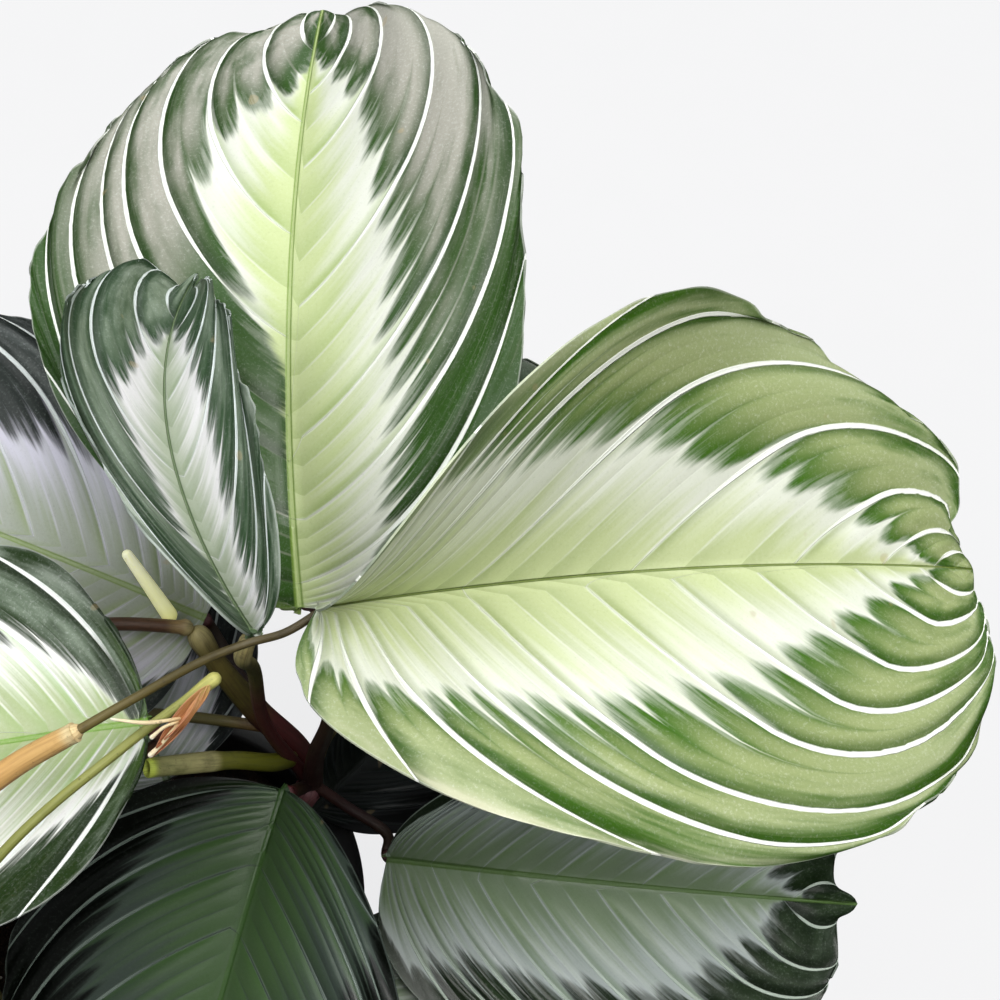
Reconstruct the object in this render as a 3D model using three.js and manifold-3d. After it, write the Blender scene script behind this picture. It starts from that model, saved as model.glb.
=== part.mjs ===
// A prayer plant in its nursery pot: oval patterned leaves on thin stalks, rising from four
// stems in dark soil. Millimetres, +Z up. The origin is the middle of the pot's underside.

import * as THREE from "three";
import { mergeVertices } from "three/addons/utils/BufferGeometryUtils.js";
import Module from "manifold-3d";

const solids = await Module();
solids.setup();

// Driving sizes
const GAP = 0.3; // between pieces that touch

const POT_HEIGHT = 102;
const POT_BASE_RADIUS = 39;
const POT_TOP_RADIUS = 50;
const POT_WALL = 2;
const POT_FLOOR = 3;
const RIM_RADIUS = 53.5;
const RIM_HEIGHT = 13;
const POT_SIDES = 40;
const DRAIN_HOLES = 8;
const DRAIN_RADIUS = 4;
const DRAIN_CIRCLE = 26;

const SOIL_TOP = 92;
const SOIL_BUMP = 1;
const SOIL_RINGS = 6;
const SOIL_SIDES = 30;
const STEM_FOOT = 77; // how far down the stems reach into the soil

const BLADE_THICKNESS = 0.9;
const KEEL_THICKNESS = 1.9; // midrib under the leaf, at the stalk
const RIB_DEPTH = 0.35; // veins lie this far below and panels this far above the mean face
const VEINS = 9; // panels between side veins, along one half of a leaf
const MARGIN_POWER = 0.5; // where a vein row ends on the margin
const MIDRIB_POWER = 2.3; // where a vein row starts on the midrib
const ACROSS = [0.28, 0.56, 0.82, 1]; // share of the way from midrib to margin

const STALK_RADIUS = 1.3;

const deg = (angle) => (angle * Math.PI) / 180;

// The leaves. base: where the stalk joins. heading: compass direction of the midrib, from +X
// towards +Y. pitch: rise at the base. roll: tilt about the midrib. length, left and right:
// midrib and half widths. droop: how far the tip bends down. sweep: how far the midrib curves
// sideways. fold: each half's rise at the midrib. curl: how far each half bends back down.
// baseFold: further rise of each half near the stalk. Angles are in degrees.
const LEAVES = [
  {
    name: "leaf_back_tall", base: [46.1, 16.5, 208.5], heading: 96.5, pitch: 33, roll: -23,
    length: 138.1, left: 54.1, right: 54.1, droop: 34, sweep: 0,
    fold: [16, 8.5], curl: [12.5, 5], baseFold: [35, 2.5],
    shift: -0.03, fullness: 0.98, lobe: [-0.09, 0.04], hip: [0.03, -0.02], cusp: 0.02,
    veinAngle: 58, wave: [1, 1.7], waves: [5.4, 5.1], phase: [-0.1, -0.33],
  },
  {
    name: "leaf_right_large", base: [53.3, -3.5, 240.7], heading: 10.5, pitch: -0.5, roll: 12,
    length: 139.5, left: 51.5, right: 56, droop: 30, sweep: 0,
    fold: [16, 3.5], curl: [-3.5, 8.5], baseFold: [97, 24.5],
    shift: -0.02, fullness: 0.97, lobe: [0.03, 0.1], hip: [0.02, -0.13], cusp: 0.01,
    veinAngle: 44, wave: [3.1, 2.4], waves: [3.2, 4.4], phase: [1.53, 0.25],
  },
  {
    name: "leaf_back_small", base: [41.6, -6.7, 236.3], heading: 128, pitch: 21.5, roll: 15,
    length: 90.6, left: 24.4, right: 20.4, droop: 27, sweep: -60.5,
    fold: [29, 54.5], curl: [-3.5, 1.5], baseFold: [22.5, 17],
    shift: -0.02, fullness: 0.89, lobe: [0.01, 0.01], hip: [-0.06, 0.04], cusp: 0.07,
    veinAngle: 62, wave: [2, 1.4], waves: [4.5, 4.8], phase: [0.22, -0.04],
  },
  {
    name: "leaf_left_back", base: [21.9, 33.1, 177.2], heading: 162.5, pitch: 16, roll: -17.5,
    length: 125.8, left: 50.3, right: 48.8, droop: 20, sweep: 0,
    fold: [8, 6], curl: [12, 15], baseFold: [10, 9],
    shift: -0, fullness: 0.8, lobe: [0.03, 0.03], hip: [-0, 0.01], cusp: 0.06,
    veinAngle: 50, wave: [2, 2.1], waves: [5, 4.9], phase: [0, -0.07],
  },
  {
    name: "leaf_left_front", base: [17.2, -5.7, 201.7], heading: 185.5, pitch: -4, roll: -1.5,
    length: 111.5, left: 45.5, right: 46, droop: 18.5, sweep: 0,
    fold: [9, 9.5], curl: [11, 12], baseFold: [10.5, 18],
    shift: -0.01, fullness: 0.82, lobe: [0.03, -0.01], hip: [0, 0.01], cusp: 0.06,
    veinAngle: 50, wave: [2.1, 2], waves: [5.2, 5], phase: [0.29, -0],
  },
  {
    name: "leaf_front", base: [38.8, 3.7, 153.5], heading: -108.5, pitch: -22, roll: 4.5,
    length: 119.5, left: 50, right: 50.5, droop: 21.5, sweep: 0,
    fold: [11.5, 8.5], curl: [12.5, 19.5], baseFold: [29, 11],
    shift: 0, fullness: 0.87, lobe: [-0.02, -0], hip: [-0.02, 0.01], cusp: 0.06,
    veinAngle: 50, wave: [2, 2], waves: [5.1, 5], phase: [0.09, 0],
  },
  {
    name: "leaf_right_low", base: [60.2, -0.8, 128.1], heading: -7, pitch: -1.5, roll: 32,
    length: 113, left: 39.5, right: 44.5, droop: 22, sweep: 0,
    fold: [14.5, 14.5], curl: [8, 8], baseFold: [31.5, 10],
    shift: 0.04, fullness: 0.79, lobe: [-0.03, 0.03], hip: [-0.04, -0.04], cusp: 0.06,
    veinAngle: 50, wave: [2, 2.3], waves: [5, 4.7], phase: [0, -0.04],
  },
  {
    name: "leaf_back_right", base: [60, 34, 150], heading: 62, pitch: 14, roll: 6,
    length: 98, left: 38, right: 40, droop: 22, sweep: 0,
    fold: [9, 9], curl: [12, 12], baseFold: [12, 12],
    shift: 0, fullness: 0.82, lobe: [0.02, 0.03], hip: [0, 0], cusp: 0.06,
    veinAngle: 50, wave: [1.8, 1.8], waves: [5, 5], phase: [0.6, 0.4],
  },
  {
    name: "leaf_back_left", base: [10, 14, 138], heading: 118, pitch: 12, roll: -4,
    length: 110, left: 40, right: 38, droop: 22, sweep: 0,
    fold: [9, 9], curl: [12, 12], baseFold: [12, 12],
    shift: 0, fullness: 0.82, lobe: [0.02, 0.03], hip: [0, 0], cusp: 0.06,
    veinAngle: 50, wave: [1.8, 1.8], waves: [5, 5], phase: [0.2, 0.4],
  },
  {
    name: "leaf_left_low", base: [-38, 26, 163], heading: 172, pitch: -6, roll: 4,
    length: 100, left: 38, right: 38, droop: 22, sweep: 0,
    fold: [9, 9], curl: [12, 12], baseFold: [12, 12],
    shift: 0, fullness: 0.82, lobe: [0.02, 0.03], hip: [0, 0], cusp: 0.06,
    veinAngle: 50, wave: [1.8, 1.8], waves: [5, 5], phase: [0.8, 0.4],
  },
  {
    name: "leaf_left_top", base: [-44, -48, 222], heading: 192, pitch: 12, roll: 6,
    length: 96, left: 37, right: 38, droop: 30, sweep: 8,
    fold: [9, 9], curl: [12, 12], baseFold: [12, 12],
    shift: 0, fullness: 0.82, lobe: [0.02, 0.03], hip: [0, 0], cusp: 0.06,
    veinAngle: 50, wave: [1.8, 1.8], waves: [5, 5], phase: [0.35, 0.4],
  },
  {
    name: "leaf_front_left", base: [-40, -12, 132], heading: 205, pitch: 0, roll: 0,
    length: 110, left: 42, right: 41, droop: 34, sweep: 0,
    fold: [9, 9], curl: [12, 12], baseFold: [12, 12],
    shift: 0, fullness: 0.82, lobe: [0.02, 0.03], hip: [0, 0], cusp: 0.06,
    veinAngle: 50, wave: [1.8, 1.8], waves: [5, 5], phase: [0.15, 0.4],
  },
  {
    name: "leaf_front_right", base: [44, -20, 113.5], heading: -44, pitch: -3, roll: -5,
    length: 104, left: 38, right: 39, droop: 22, sweep: 0,
    fold: [9, 9], curl: [12, 12], baseFold: [12, 12],
    shift: 0, fullness: 0.82, lobe: [0.02, 0.03], hip: [0, 0], cusp: 0.06,
    veinAngle: 50, wave: [1.8, 1.8], waves: [5, 5], phase: [0.55, 0.4],
  },
  {
    name: "leaf_right_under", base: [41, 18, 114], heading: 50, pitch: 0, roll: -4,
    length: 106, left: 16, right: 36, droop: 18, sweep: 0,
    fold: [9, 9], curl: [12, 12], baseFold: [12, 12],
    shift: 0, fullness: 0.82, lobe: [0.02, 0.03], hip: [0, 0], cusp: 0.06,
    veinAngle: 50, wave: [1.8, 1.8], waves: [5, 5], phase: [0.25, 0.4],
  },
];

// Outline of one half of a flat leaf. s runs from 0 at the stalk to 1 at the tip. The answer is
// a share of the half width and a share of the length.
function outline(s, leaf, half) {
  const turn = Math.PI * s;
  const rise = Math.max(Math.sin(turn), 0);
  const tip = THREE.MathUtils.clamp((s - 0.94) / 0.06, 0, 1);
  let across = rise ** leaf.fullness + leaf.hip[half] * Math.sin(2 * turn);
  let along = (1 - Math.cos(turn)) / 2 + leaf.shift * rise ** 2;
  along = along * (1 - leaf.cusp) - leaf.lobe[half] * 2 * rise * Math.cos(turn / 2) ** 2;
  along += leaf.cusp * tip ** 2;
  across *= 1 - 0.45 * Math.sin(Math.PI * tip) * Math.min(1, leaf.cusp / 0.04);
  return [across, along];
}

// A point of the flat leaf. row is the vein row, from 0 at the stalk to 1 at the tip, and u runs
// along that row from the midrib to the margin. Each row is one curved vein.
function flatPoint(row, u, leaf, half) {
  const width = half === 0 ? leaf.left : leaf.right;
  const s = row ** MARGIN_POWER;
  const start = new THREE.Vector2(0, row ** MIDRIB_POWER * leaf.length);
  const [endAcross, endAlong] = outline(s, leaf, half);
  const end = new THREE.Vector2(endAcross * width, endAlong * leaf.length);
  const step = 0.001;
  const [ax, ay] = outline(Math.max(s - step, 0), leaf, half);
  const [bx, by] = outline(Math.min(s + step, 1), leaf, half);
  const edge = new THREE.Vector2((bx - ax) * width, (by - ay) * leaf.length).normalize();
  const reach = end.distanceTo(start);
  const leave = deg(leaf.veinAngle + 42 * (1 - row) ** 3);
  const out = new THREE.Vector2(Math.sin(leave), Math.cos(leave)).multiplyScalar(reach * 1.1);
  const swing = THREE.MathUtils.clamp(row * 2.5, 0, 1);
  const arrive = edge.multiplyScalar(reach * 0.75 * swing);
  arrive.addScaledVector(end.clone().sub(start), 1 - swing);
  const u2 = u * u;
  const u3 = u2 * u;
  return start
    .multiplyScalar(2 * u3 - 3 * u2 + 1)
    .addScaledVector(out, u3 - 2 * u2 + u)
    .addScaledVector(end, 3 * u2 - 2 * u3)
    .addScaledVector(arrive, u3 - u2);
}

// Directions of a leaf at its stalk: along the midrib, to the left, and out of the upper face.
function leafAxes(leaf) {
  const az = deg(leaf.heading);
  const pitch = deg(leaf.pitch);
  const along = new THREE.Vector3(
    Math.cos(az) * Math.cos(pitch), Math.sin(az) * Math.cos(pitch), Math.sin(pitch));
  const level = new THREE.Vector3(-Math.sin(az), Math.cos(az), 0);
  const upright = along.clone().cross(level);
  const roll = deg(leaf.roll);
  const left = level.clone().multiplyScalar(Math.cos(roll)).addScaledVector(upright, Math.sin(roll));
  const up = level.clone().multiplyScalar(-Math.sin(roll)).addScaledVector(upright, Math.cos(roll));
  return { along, left, up };
}

// Bends a flat leaf point into space: fold and curl across, sweep sideways, then droop.
function bend(flat, lift, leaf, half) {
  const { along, left, up } = leafAxes(leaf);
  const side = half === 0 ? 1 : -1;
  const width = half === 0 ? leaf.left : leaf.right;
  const far = flat.y / leaf.length;
  const near = THREE.MathUtils.clamp(1 - far, 0, 1.2) ** 2.5;
  const fold = deg(leaf.fold[half] + leaf.baseFold[half] * near);
  const curl = deg(leaf.curl[half]);
  const turned = fold - (curl * flat.x) / width;
  const lateral = (width / curl) * (Math.sin(fold) - Math.sin(turned));
  const height = (width / curl) * (Math.cos(turned) - Math.cos(fold)) + lift;
  const sweep = deg(leaf.sweep || 0.01);
  const swept = sweep * far;
  const across = (leaf.length * (1 - Math.cos(swept))) / sweep + side * lateral * Math.cos(swept);
  const ahead = (leaf.length * Math.sin(swept)) / sweep - side * lateral * Math.sin(swept);
  const droop = deg(leaf.droop);
  const drooped = (droop * ahead) / leaf.length;
  const forward = (leaf.length * Math.sin(drooped)) / droop + height * Math.sin(drooped);
  const fallen = (-leaf.length * (1 - Math.cos(drooped))) / droop + height * Math.cos(drooped);
  return new THREE.Vector3(...leaf.base)
    .addScaledVector(along, forward)
    .addScaledVector(up, fallen)
    .addScaledVector(left, across);
}

// Height of the upper face's relief: sunken veins, raised panels and the waved margin.
function relief(row, u, leaf, half) {
  const { smoothstep } = THREE.MathUtils;
  const ribs = Math.cos(2 * Math.PI * VEINS * row) * Math.sin(Math.PI * Math.min(u, 0.9));
  const turns = leaf.waves[half] * row ** MARGIN_POWER + leaf.phase[half];
  const wave = leaf.wave[half] * u ** 2.5 * Math.sin(2 * Math.PI * turns);
  const flatAtEnds = smoothstep(row, 0.02, 0.25) * smoothstep(1 - row, 0, 0.06);
  return (wave - RIB_DEPTH * ribs) * flatAtEnds;
}

// Vein rows used for the solid: three close ones round the stalk, then each vein and the middle
// of each panel, then one close to the tip.
const ROWS = [0.006, 0.022];
for (let i = 1; i < 2 * VEINS; i += 1) ROWS.push(i / (2 * VEINS));
ROWS.push(0.984);
const STALK_ROWS = 3; // rows that all start at the stalk itself

// One leaf blade: the same net of triangles on the upper and the lower face, joined at the rim.
function leafBlade(leaf) {
  const points = [bend(new THREE.Vector2(0, 0), 0, leaf, 0)];
  const keels = [1];
  const rows = ROWS.map((row, i) => {
    const line = [];
    const midrib = i < STALK_ROWS ? 0 : points.length;
    line[ACROSS.length] = midrib;
    if (midrib > 0) {
      points.push(bend(flatPoint(row, 0, leaf, 0), 0, leaf, 0));
      keels.push(1 - row ** MIDRIB_POWER);
    }
    for (const half of [0, 1]) {
      for (const [k, u] of ACROSS.entries()) {
        const column = half === 0 ? ACROSS.length - 1 - k : ACROSS.length + 1 + k;
        line[column] = points.length;
        points.push(bend(flatPoint(row, u, leaf, half), relief(row, u, leaf, half), leaf, half));
        keels.push(-1);
      }
    }
    return line;
  });
  const tip = points.length;
  points.push(bend(flatPoint(1, 0, leaf, 0), 0, leaf, 0));
  keels.push(0);
  const last = 2 * ACROSS.length;
  const faces = [];
  const face = (a, b, c) => {
    if (a !== b && b !== c && c !== a) faces.push([a, b, c]);
  };
  rows.slice(1).forEach((next, i) => {
    const line = rows[i];
    for (let j = 0; j < last; j += 1) {
      if (j < ACROSS.length) {
        face(line[j], line[j + 1], next[j]);
        face(line[j + 1], next[j + 1], next[j]);
      } else {
        face(line[j], line[j + 1], next[j + 1]);
        face(line[j], next[j + 1], next[j]);
      }
    }
  });
  for (let j = 0; j < last; j += 1) {
    face(0, rows[0][j + 1], rows[0][j]);
    face(tip, rows[rows.length - 1][j], rows[rows.length - 1][j + 1]);
  }
  const normals = points.map(() => new THREE.Vector3());
  for (const [a, b, c] of faces) {
    const normal = points[b].clone().sub(points[a]).cross(points[c].clone().sub(points[a]));
    for (const i of [a, b, c]) normals[i].add(normal);
  }
  const count = points.length;
  const lower = points.map((point, i) => {
    const depth = keels[i] < 0
      ? BLADE_THICKNESS
      : BLADE_THICKNESS + (KEEL_THICKNESS - BLADE_THICKNESS) * keels[i];
    return point.clone().addScaledVector(normals[i].normalize(), -depth);
  });
  const index = [];
  for (const [a, b, c] of faces) index.push(a, b, c, a + count, c + count, b + count);
  const edges = new Map();
  for (const [a, b, c] of faces) {
    for (const [from, to] of [[a, b], [b, c], [c, a]]) edges.set(from + "_" + to, [from, to]);
  }
  for (const [from, to] of edges.values()) {
    if (edges.has(to + "_" + from)) continue;
    index.push(to, from, from + count, to, from + count, to + count);
  }
  const geometry = new THREE.BufferGeometry();
  geometry.setIndex(index);
  const flat = [...points, ...lower].flatMap((point) => point.toArray());
  geometry.setAttribute("position", new THREE.Float32BufferAttribute(flat, 3));
  return geometry;
}

// A round stalk of one thickness along a smooth curve through points.
function tube(path, radius, sides = 6, steps = 3 * (path.length - 1)) {
  const curve = new THREE.CatmullRomCurve3(path.map((point) => new THREE.Vector3(...point)));
  const ring = [];
  for (let i = 0; i < sides; i += 1) {
    const angle = (2 * Math.PI * i) / sides;
    ring.push(new THREE.Vector2(radius * Math.cos(angle), radius * Math.sin(angle)));
  }
  const settings = { steps, extrudePath: curve, bevelEnabled: false };
  return new THREE.ExtrudeGeometry(new THREE.Shape(ring), settings);
}

function knob(point, radius, stretch = 1) {
  const ball = new THREE.IcosahedronGeometry(radius, 1);
  ball.scale(1, 1, stretch);
  ball.translate(...point);
  return ball;
}

// Solid booleans
function toSolid(geometry) {
  const bare = geometry.clone();
  bare.deleteAttribute("normal");
  bare.deleteAttribute("uv");
  const merged = mergeVertices(bare, 1e-4);
  const mesh = new solids.Mesh({
    numProp: 3,
    vertProperties: new Float32Array(merged.attributes.position.array),
    triVerts: new Uint32Array(merged.index.array),
  });
  return new solids.Manifold(mesh);
}

function toGeometry(solid) {
  const mesh = solid.getMesh();
  const geometry = new THREE.BufferGeometry();
  geometry.setAttribute("position", new THREE.BufferAttribute(mesh.vertProperties.slice(), 3));
  geometry.setIndex(new THREE.BufferAttribute(mesh.triVerts.slice(), 1));
  return geometry;
}

function join(geometries) {
  return geometries.map(toSolid).reduce((whole, piece) => whole.add(piece));
}

// The pot: a plain tapered shell with a rolled rim and a ring of drain holes in its floor.
const potInnerTop = POT_TOP_RADIUS - POT_WALL;
const potInnerBase = POT_BASE_RADIUS - POT_WALL;
const RIM_FOOT = POT_HEIGHT - RIM_HEIGHT;
const taper = (POT_TOP_RADIUS - POT_BASE_RADIUS) / POT_HEIGHT;
const innerTaper = (potInnerTop - potInnerBase) / (POT_HEIGHT - POT_FLOOR);
const potOuterAt = (z) => POT_BASE_RADIUS + taper * z;
const potInnerAt = (z) => potInnerBase + innerTaper * (z - POT_FLOOR);
const potProfile = [
  [0, 0],
  [POT_BASE_RADIUS - 1.5, 0],
  [POT_BASE_RADIUS, 1.5],
  [potOuterAt(RIM_FOOT), RIM_FOOT],
  [RIM_RADIUS - 1.2, RIM_FOOT + 0.8],
  [RIM_RADIUS, POT_HEIGHT - 2],
  [RIM_RADIUS - 1, POT_HEIGHT],
  [potInnerTop + 0.6, POT_HEIGHT],
  [potInnerTop, POT_HEIGHT - 0.8],
  [potInnerBase, POT_FLOOR],
  [0, POT_FLOOR],
];

function turned(profile, sides) {
  const points = profile.map(([radius, z]) => new THREE.Vector2(radius, z));
  const lathe = new THREE.LatheGeometry(points, sides);
  lathe.rotateX(Math.PI / 2);
  return lathe;
}

let potSolid = toSolid(turned(potProfile, POT_SIDES));
for (let i = 0; i < DRAIN_HOLES; i += 1) {
  const angle = (2 * Math.PI * i) / DRAIN_HOLES;
  const drill = new THREE.CylinderGeometry(DRAIN_RADIUS, DRAIN_RADIUS, 3 * POT_FLOOR, 12);
  drill.rotateX(Math.PI / 2);
  drill.translate(DRAIN_CIRCLE * Math.cos(angle), DRAIN_CIRCLE * Math.sin(angle), POT_FLOOR / 2);
  potSolid = potSolid.subtract(toSolid(drill));
}

// Where each leaf's stalk ends: just under the keel, coming up square to the blade. A blade whose
// halves fold up steeply at the stalk has its keel nearer, so its stalk reaches higher.
function stalkEnd(name, higher = 0) {
  const leaf = LEAVES.find((entry) => entry.name === name);
  const { along, up } = leafAxes(leaf);
  const seat = new THREE.Vector3(...leaf.base).addScaledVector(along, 0.6);
  const knee = seat.clone().addScaledVector(up, -8).addScaledVector(along, -1.5);
  const end = seat.clone().addScaledVector(up, higher - KEEL_THICKNESS - 2 * GAP);
  return [knee.toArray(), end.toArray()];
}

// Stems, as paths from the soil upwards
const CROWN = [42.9, 14.4, 135.5];
const ELBOW = [20.8, 26.9, 183.3];
const centreFoot = [[26, -4, STEM_FOOT], [26, -3.5, SOIL_TOP], [30, 3, 116], CROWN];
const shortFoot = [[2, -6, STEM_FOOT], [2, -6, SOIL_TOP], [1, -9, 118]];
const leftFoot = [[-27, -21, STEM_FOOT], [-27.5, -22, SOIL_TOP], [-33, -46, 125], [-37, -66, 165]];

const centreParts = [
  tube(centreFoot, 3, 8),
  knob(CROWN, 3.2),
  tube([CROWN, [40.6, 17.9, 144.1], [32.4, 20.5, 158.1], [25.4, 23.5, 172.4], ELBOW], 2.6, 8),
  knob(ELBOW, 2.8),
  tube([[33, 20, 159], ...stalkEnd("leaf_left_back")], 1.6),
  tube([ELBOW, [8.8, 26, 186.4], [-5, 24, 189.5]], 1.5),
  tube([[34.5, 19, 154], [12, 22, 154], [-22, 24, 154], ...stalkEnd("leaf_left_low")], STALK_RADIUS),
  tube([[16.3, 28.8, 183], [7, 37.6, 197]], 1.6, 8, 2),
  tube([CROWN, [35.5, 13, 165], [36.5, 8, 198], ...stalkEnd("leaf_back_small")], 1.6),
  tube([CROWN, [46, 9, 160], [51, 8, 184], ...stalkEnd("leaf_back_tall")], STALK_RADIUS),
  tube([CROWN, ...stalkEnd("leaf_front")], 1.6),
  tube([CROWN, [50, 12, 129], [60, 7, 123], ...stalkEnd("leaf_right_low")], STALK_RADIUS),
  tube([CROWN, [47, 24, 142], ...stalkEnd("leaf_back_right")], STALK_RADIUS),
  tube([[30, 3, 112], [40, 12, 106], ...stalkEnd("leaf_right_under")], STALK_RADIUS),
  tube([[30, 3, 118], [18, 10, 128], ...stalkEnd("leaf_back_left")], STALK_RADIUS),
];
const stub = [[40, 15.4, 146.6], [35.8, 11.7, 151], [27.6, 8.5, 158.2], [11, 1.6, 168]];
const stubBore = tube([[15.4, 3.4, 165.4], [11, 1.6, 168], [9.8, 1.1, 168.7]], 1.3);
const centreStem = join([...centreParts, tube(stub, 2.2, 8)]).subtract(toSolid(stubBore));

const leftFrontStalk = [[1.5, -7, 104], [-5, 0, 126], [-6, 0, 148], [3, -6, 178]];
const shortStem = join([
  tube(shortFoot, 2.2, 8),
  tube([...leftFrontStalk, ...stalkEnd("leaf_left_front")], STALK_RADIUS),
  tube([[2, -6, 96], [24, -17, 99], ...stalkEnd("leaf_front_right")], STALK_RADIUS),
]);

const SHEATH_END = [10.8, -21.1, 227.8];
const leftArch = [[-37, -66, 165], [-37, -68, 190], [-29, -54, 207], [-15, -33, 214], [-3, -25.4, 220.4]];
const petiole = [SHEATH_END, [21.4, -16.7, 232.1], [33, -13.1, 238], [41, -11.1, 240.7], [47.5, -7.8, 239]];
const FLOWER_STALK_TIP = [36.1, -15, 236.4];
const flowerStalk = [[-37, -68, 184], [-22, -64, 204], [-2.1, -40.8, 218.9], [18.5, -24.5, 227]];
const leftStem = join([
  tube(leftFoot, 2.8, 8),
  tube([...leftArch, SHEATH_END], 2.4, 8),
  tube([...petiole, stalkEnd("leaf_right_large", 0.4)[1]], 1.05, 6, 12),
  knob(SHEATH_END, 2),
  tube([[-37, -68, 190], ...stalkEnd("leaf_left_top")], STALK_RADIUS),
  tube([[-28.5, -27, 99], ...stalkEnd("leaf_front_left")], STALK_RADIUS),
  tube([...flowerStalk, FLOWER_STALK_TIP], 0.9),
  knob(FLOWER_STALK_TIP, 1.5),
]);

// The soil fills the pot; its top is crumbly and each stem stands in a hole of its own.
function soilGeometry() {
  const bottom = POT_FLOOR + GAP;
  const inset = 1.5 * GAP;
  const profile = [[0, bottom], [potInnerAt(bottom) - inset, bottom]];
  for (let i = 0; i <= SOIL_RINGS; i += 1) {
    profile.push([(potInnerAt(SOIL_TOP) - inset) * (1 - i / SOIL_RINGS), SOIL_TOP]);
  }
  const lathe = turned(profile, SOIL_SIDES);
  const position = lathe.attributes.position;
  for (let i = 0; i < position.count; i += 1) {
    const x = position.getX(i);
    const y = position.getY(i);
    const inside = Math.hypot(x, y) < potInnerAt(SOIL_TOP) - 2;
    if (position.getZ(i) < SOIL_TOP - 1 || !inside) continue;
    const coarse = Math.sin(0.55 * x + 1.3) * Math.cos(0.49 * y - 0.4);
    const fine = 0.6 * Math.sin(1.1 * x - 0.8 * y);
    position.setZ(i, SOIL_TOP + SOIL_BUMP * (coarse + fine));
  }
  return lathe;
}

function soilHole(path, radius) {
  const [[x, y]] = path;
  const shaft = toSolid(tube(path, radius + 3 * GAP, 8));
  const bottom = tube([[x, y, STEM_FOOT - GAP], [x, y, STEM_FOOT + 2]], radius + 2 * GAP, 12, 1);
  return shaft.add(toSolid(bottom));
}

const soilSolid = toSolid(soilGeometry())
  .subtract(soilHole(centreFoot, 3))
  .subtract(soilHole(shortFoot, 2.2))
  .subtract(soilHole(leftFoot, 2.8));

// The withered flower: three narrow dry bracts and the pale threads hanging out of them.
function bract(from, to, width, thick, turn) {
  const length = new THREE.Vector3(...from).distanceTo(new THREE.Vector3(...to));
  const petal = new THREE.SphereGeometry(0.5, 8, 6);
  petal.scale(width, thick, length);
  petal.rotateZ(turn);
  const axis = new THREE.Vector3(...to).sub(new THREE.Vector3(...from)).normalize();
  petal.applyQuaternion(new THREE.Quaternion().setFromUnitVectors(new THREE.Vector3(0, 0, 1), axis));
  const middle = new THREE.Vector3(...from).lerp(new THREE.Vector3(...to), 0.5);
  petal.translate(middle.x, middle.y, middle.z);
  return petal;
}

const FLOWER_TOP = [34.4, -17.2, 236.5];
const flowerSolid = join([
  bract(FLOWER_TOP, [25, -26.4, 230.4], 2.8, 1.9, 0),
  bract([33.8, -17.9, 236], [23.8, -27.2, 228], 2.4, 1.6, 0.8),
  bract([33.2, -18.4, 235.9], [26.6, -25.6, 231.8], 2.2, 1.6, -0.7),
  tube([[28.7, -23.1, 232.6], [26, -25.4, 230.3], [23.5, -27.3, 228.6]], 0.45, 5),
  tube([[28.9, -22.9, 233.1], [26.6, -24, 233.5], [24.1, -25.6, 232.2]], 0.4, 5),
  tube([[29.3, -22.5, 233.5], [23.6, -23.9, 235], [17.5, -23.8, 236.2]], 0.4, 5),
]);

// Colours
const paint = (colour, roughness) =>
  new THREE.MeshStandardMaterial({ color: colour, roughness, metalness: 0 });
const leafPaint = paint(0x5f8f4a, 0.45);
const shadeLeafPaint = paint(0x33523f, 0.45);
const stemPaint = paint(0x5c5a35, 0.5);
const flowerPaint = paint(0xb9694a, 0.7);
const potPaint = paint(0x1c1d1f, 0.45);
const soilPaint = paint(0x2a211b, 0.95);

const plant = new THREE.Group();
function place(name, geometry, material) {
  const mesh = new THREE.Mesh(geometry, material);
  mesh.name = name;
  plant.add(mesh);
}

place("pot", toGeometry(potSolid), potPaint);
place("soil", toGeometry(soilSolid), soilPaint);
place("stem_centre", toGeometry(centreStem), stemPaint);
place("stem_short", toGeometry(shortStem), stemPaint);
place("stem_left", toGeometry(leftStem), stemPaint);
place("withered_flower", toGeometry(flowerSolid), flowerPaint);
const BRIGHT = ["leaf_back_tall", "leaf_right_large"];
for (const leaf of LEAVES) {
  place(leaf.name, leafBlade(leaf), BRIGHT.includes(leaf.name) ? leafPaint : shadeLeafPaint);
}

export default plant;
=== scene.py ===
# %% [markdown]
# # A potted prayer plant
# The plant has oval leaves with a pale feathered band along the midrib, white veins that sweep
# towards the tip, thin stalks in olive, tan and maroon, one withered flower, dark soil and a
# plain black pot. The imported model gives every piece its place, so we load it first. Nothing
# made here may grow out of it.

# %% Load the frame
import math

import bpy
import numpy as np
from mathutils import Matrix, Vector, noise


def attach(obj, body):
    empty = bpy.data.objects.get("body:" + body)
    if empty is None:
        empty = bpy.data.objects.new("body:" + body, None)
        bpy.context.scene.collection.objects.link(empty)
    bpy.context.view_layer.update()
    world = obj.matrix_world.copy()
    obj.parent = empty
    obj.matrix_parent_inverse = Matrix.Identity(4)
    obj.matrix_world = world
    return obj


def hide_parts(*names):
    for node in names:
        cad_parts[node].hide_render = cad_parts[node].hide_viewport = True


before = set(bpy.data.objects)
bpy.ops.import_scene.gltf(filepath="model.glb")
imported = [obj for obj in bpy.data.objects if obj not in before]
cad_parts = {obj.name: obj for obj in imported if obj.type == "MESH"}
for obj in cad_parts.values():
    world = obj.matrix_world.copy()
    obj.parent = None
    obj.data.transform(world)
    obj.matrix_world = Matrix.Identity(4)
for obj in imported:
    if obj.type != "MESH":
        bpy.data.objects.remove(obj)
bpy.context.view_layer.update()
print("nodes in the frame:", len(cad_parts))

# %% [markdown]
# ## The camera
# The photograph looks down on the leaves from in front, close enough that the nearest leaf looks
# largest. A 70 mm lens at 370 mm from the middle of the leaves gives that perspective.

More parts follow.
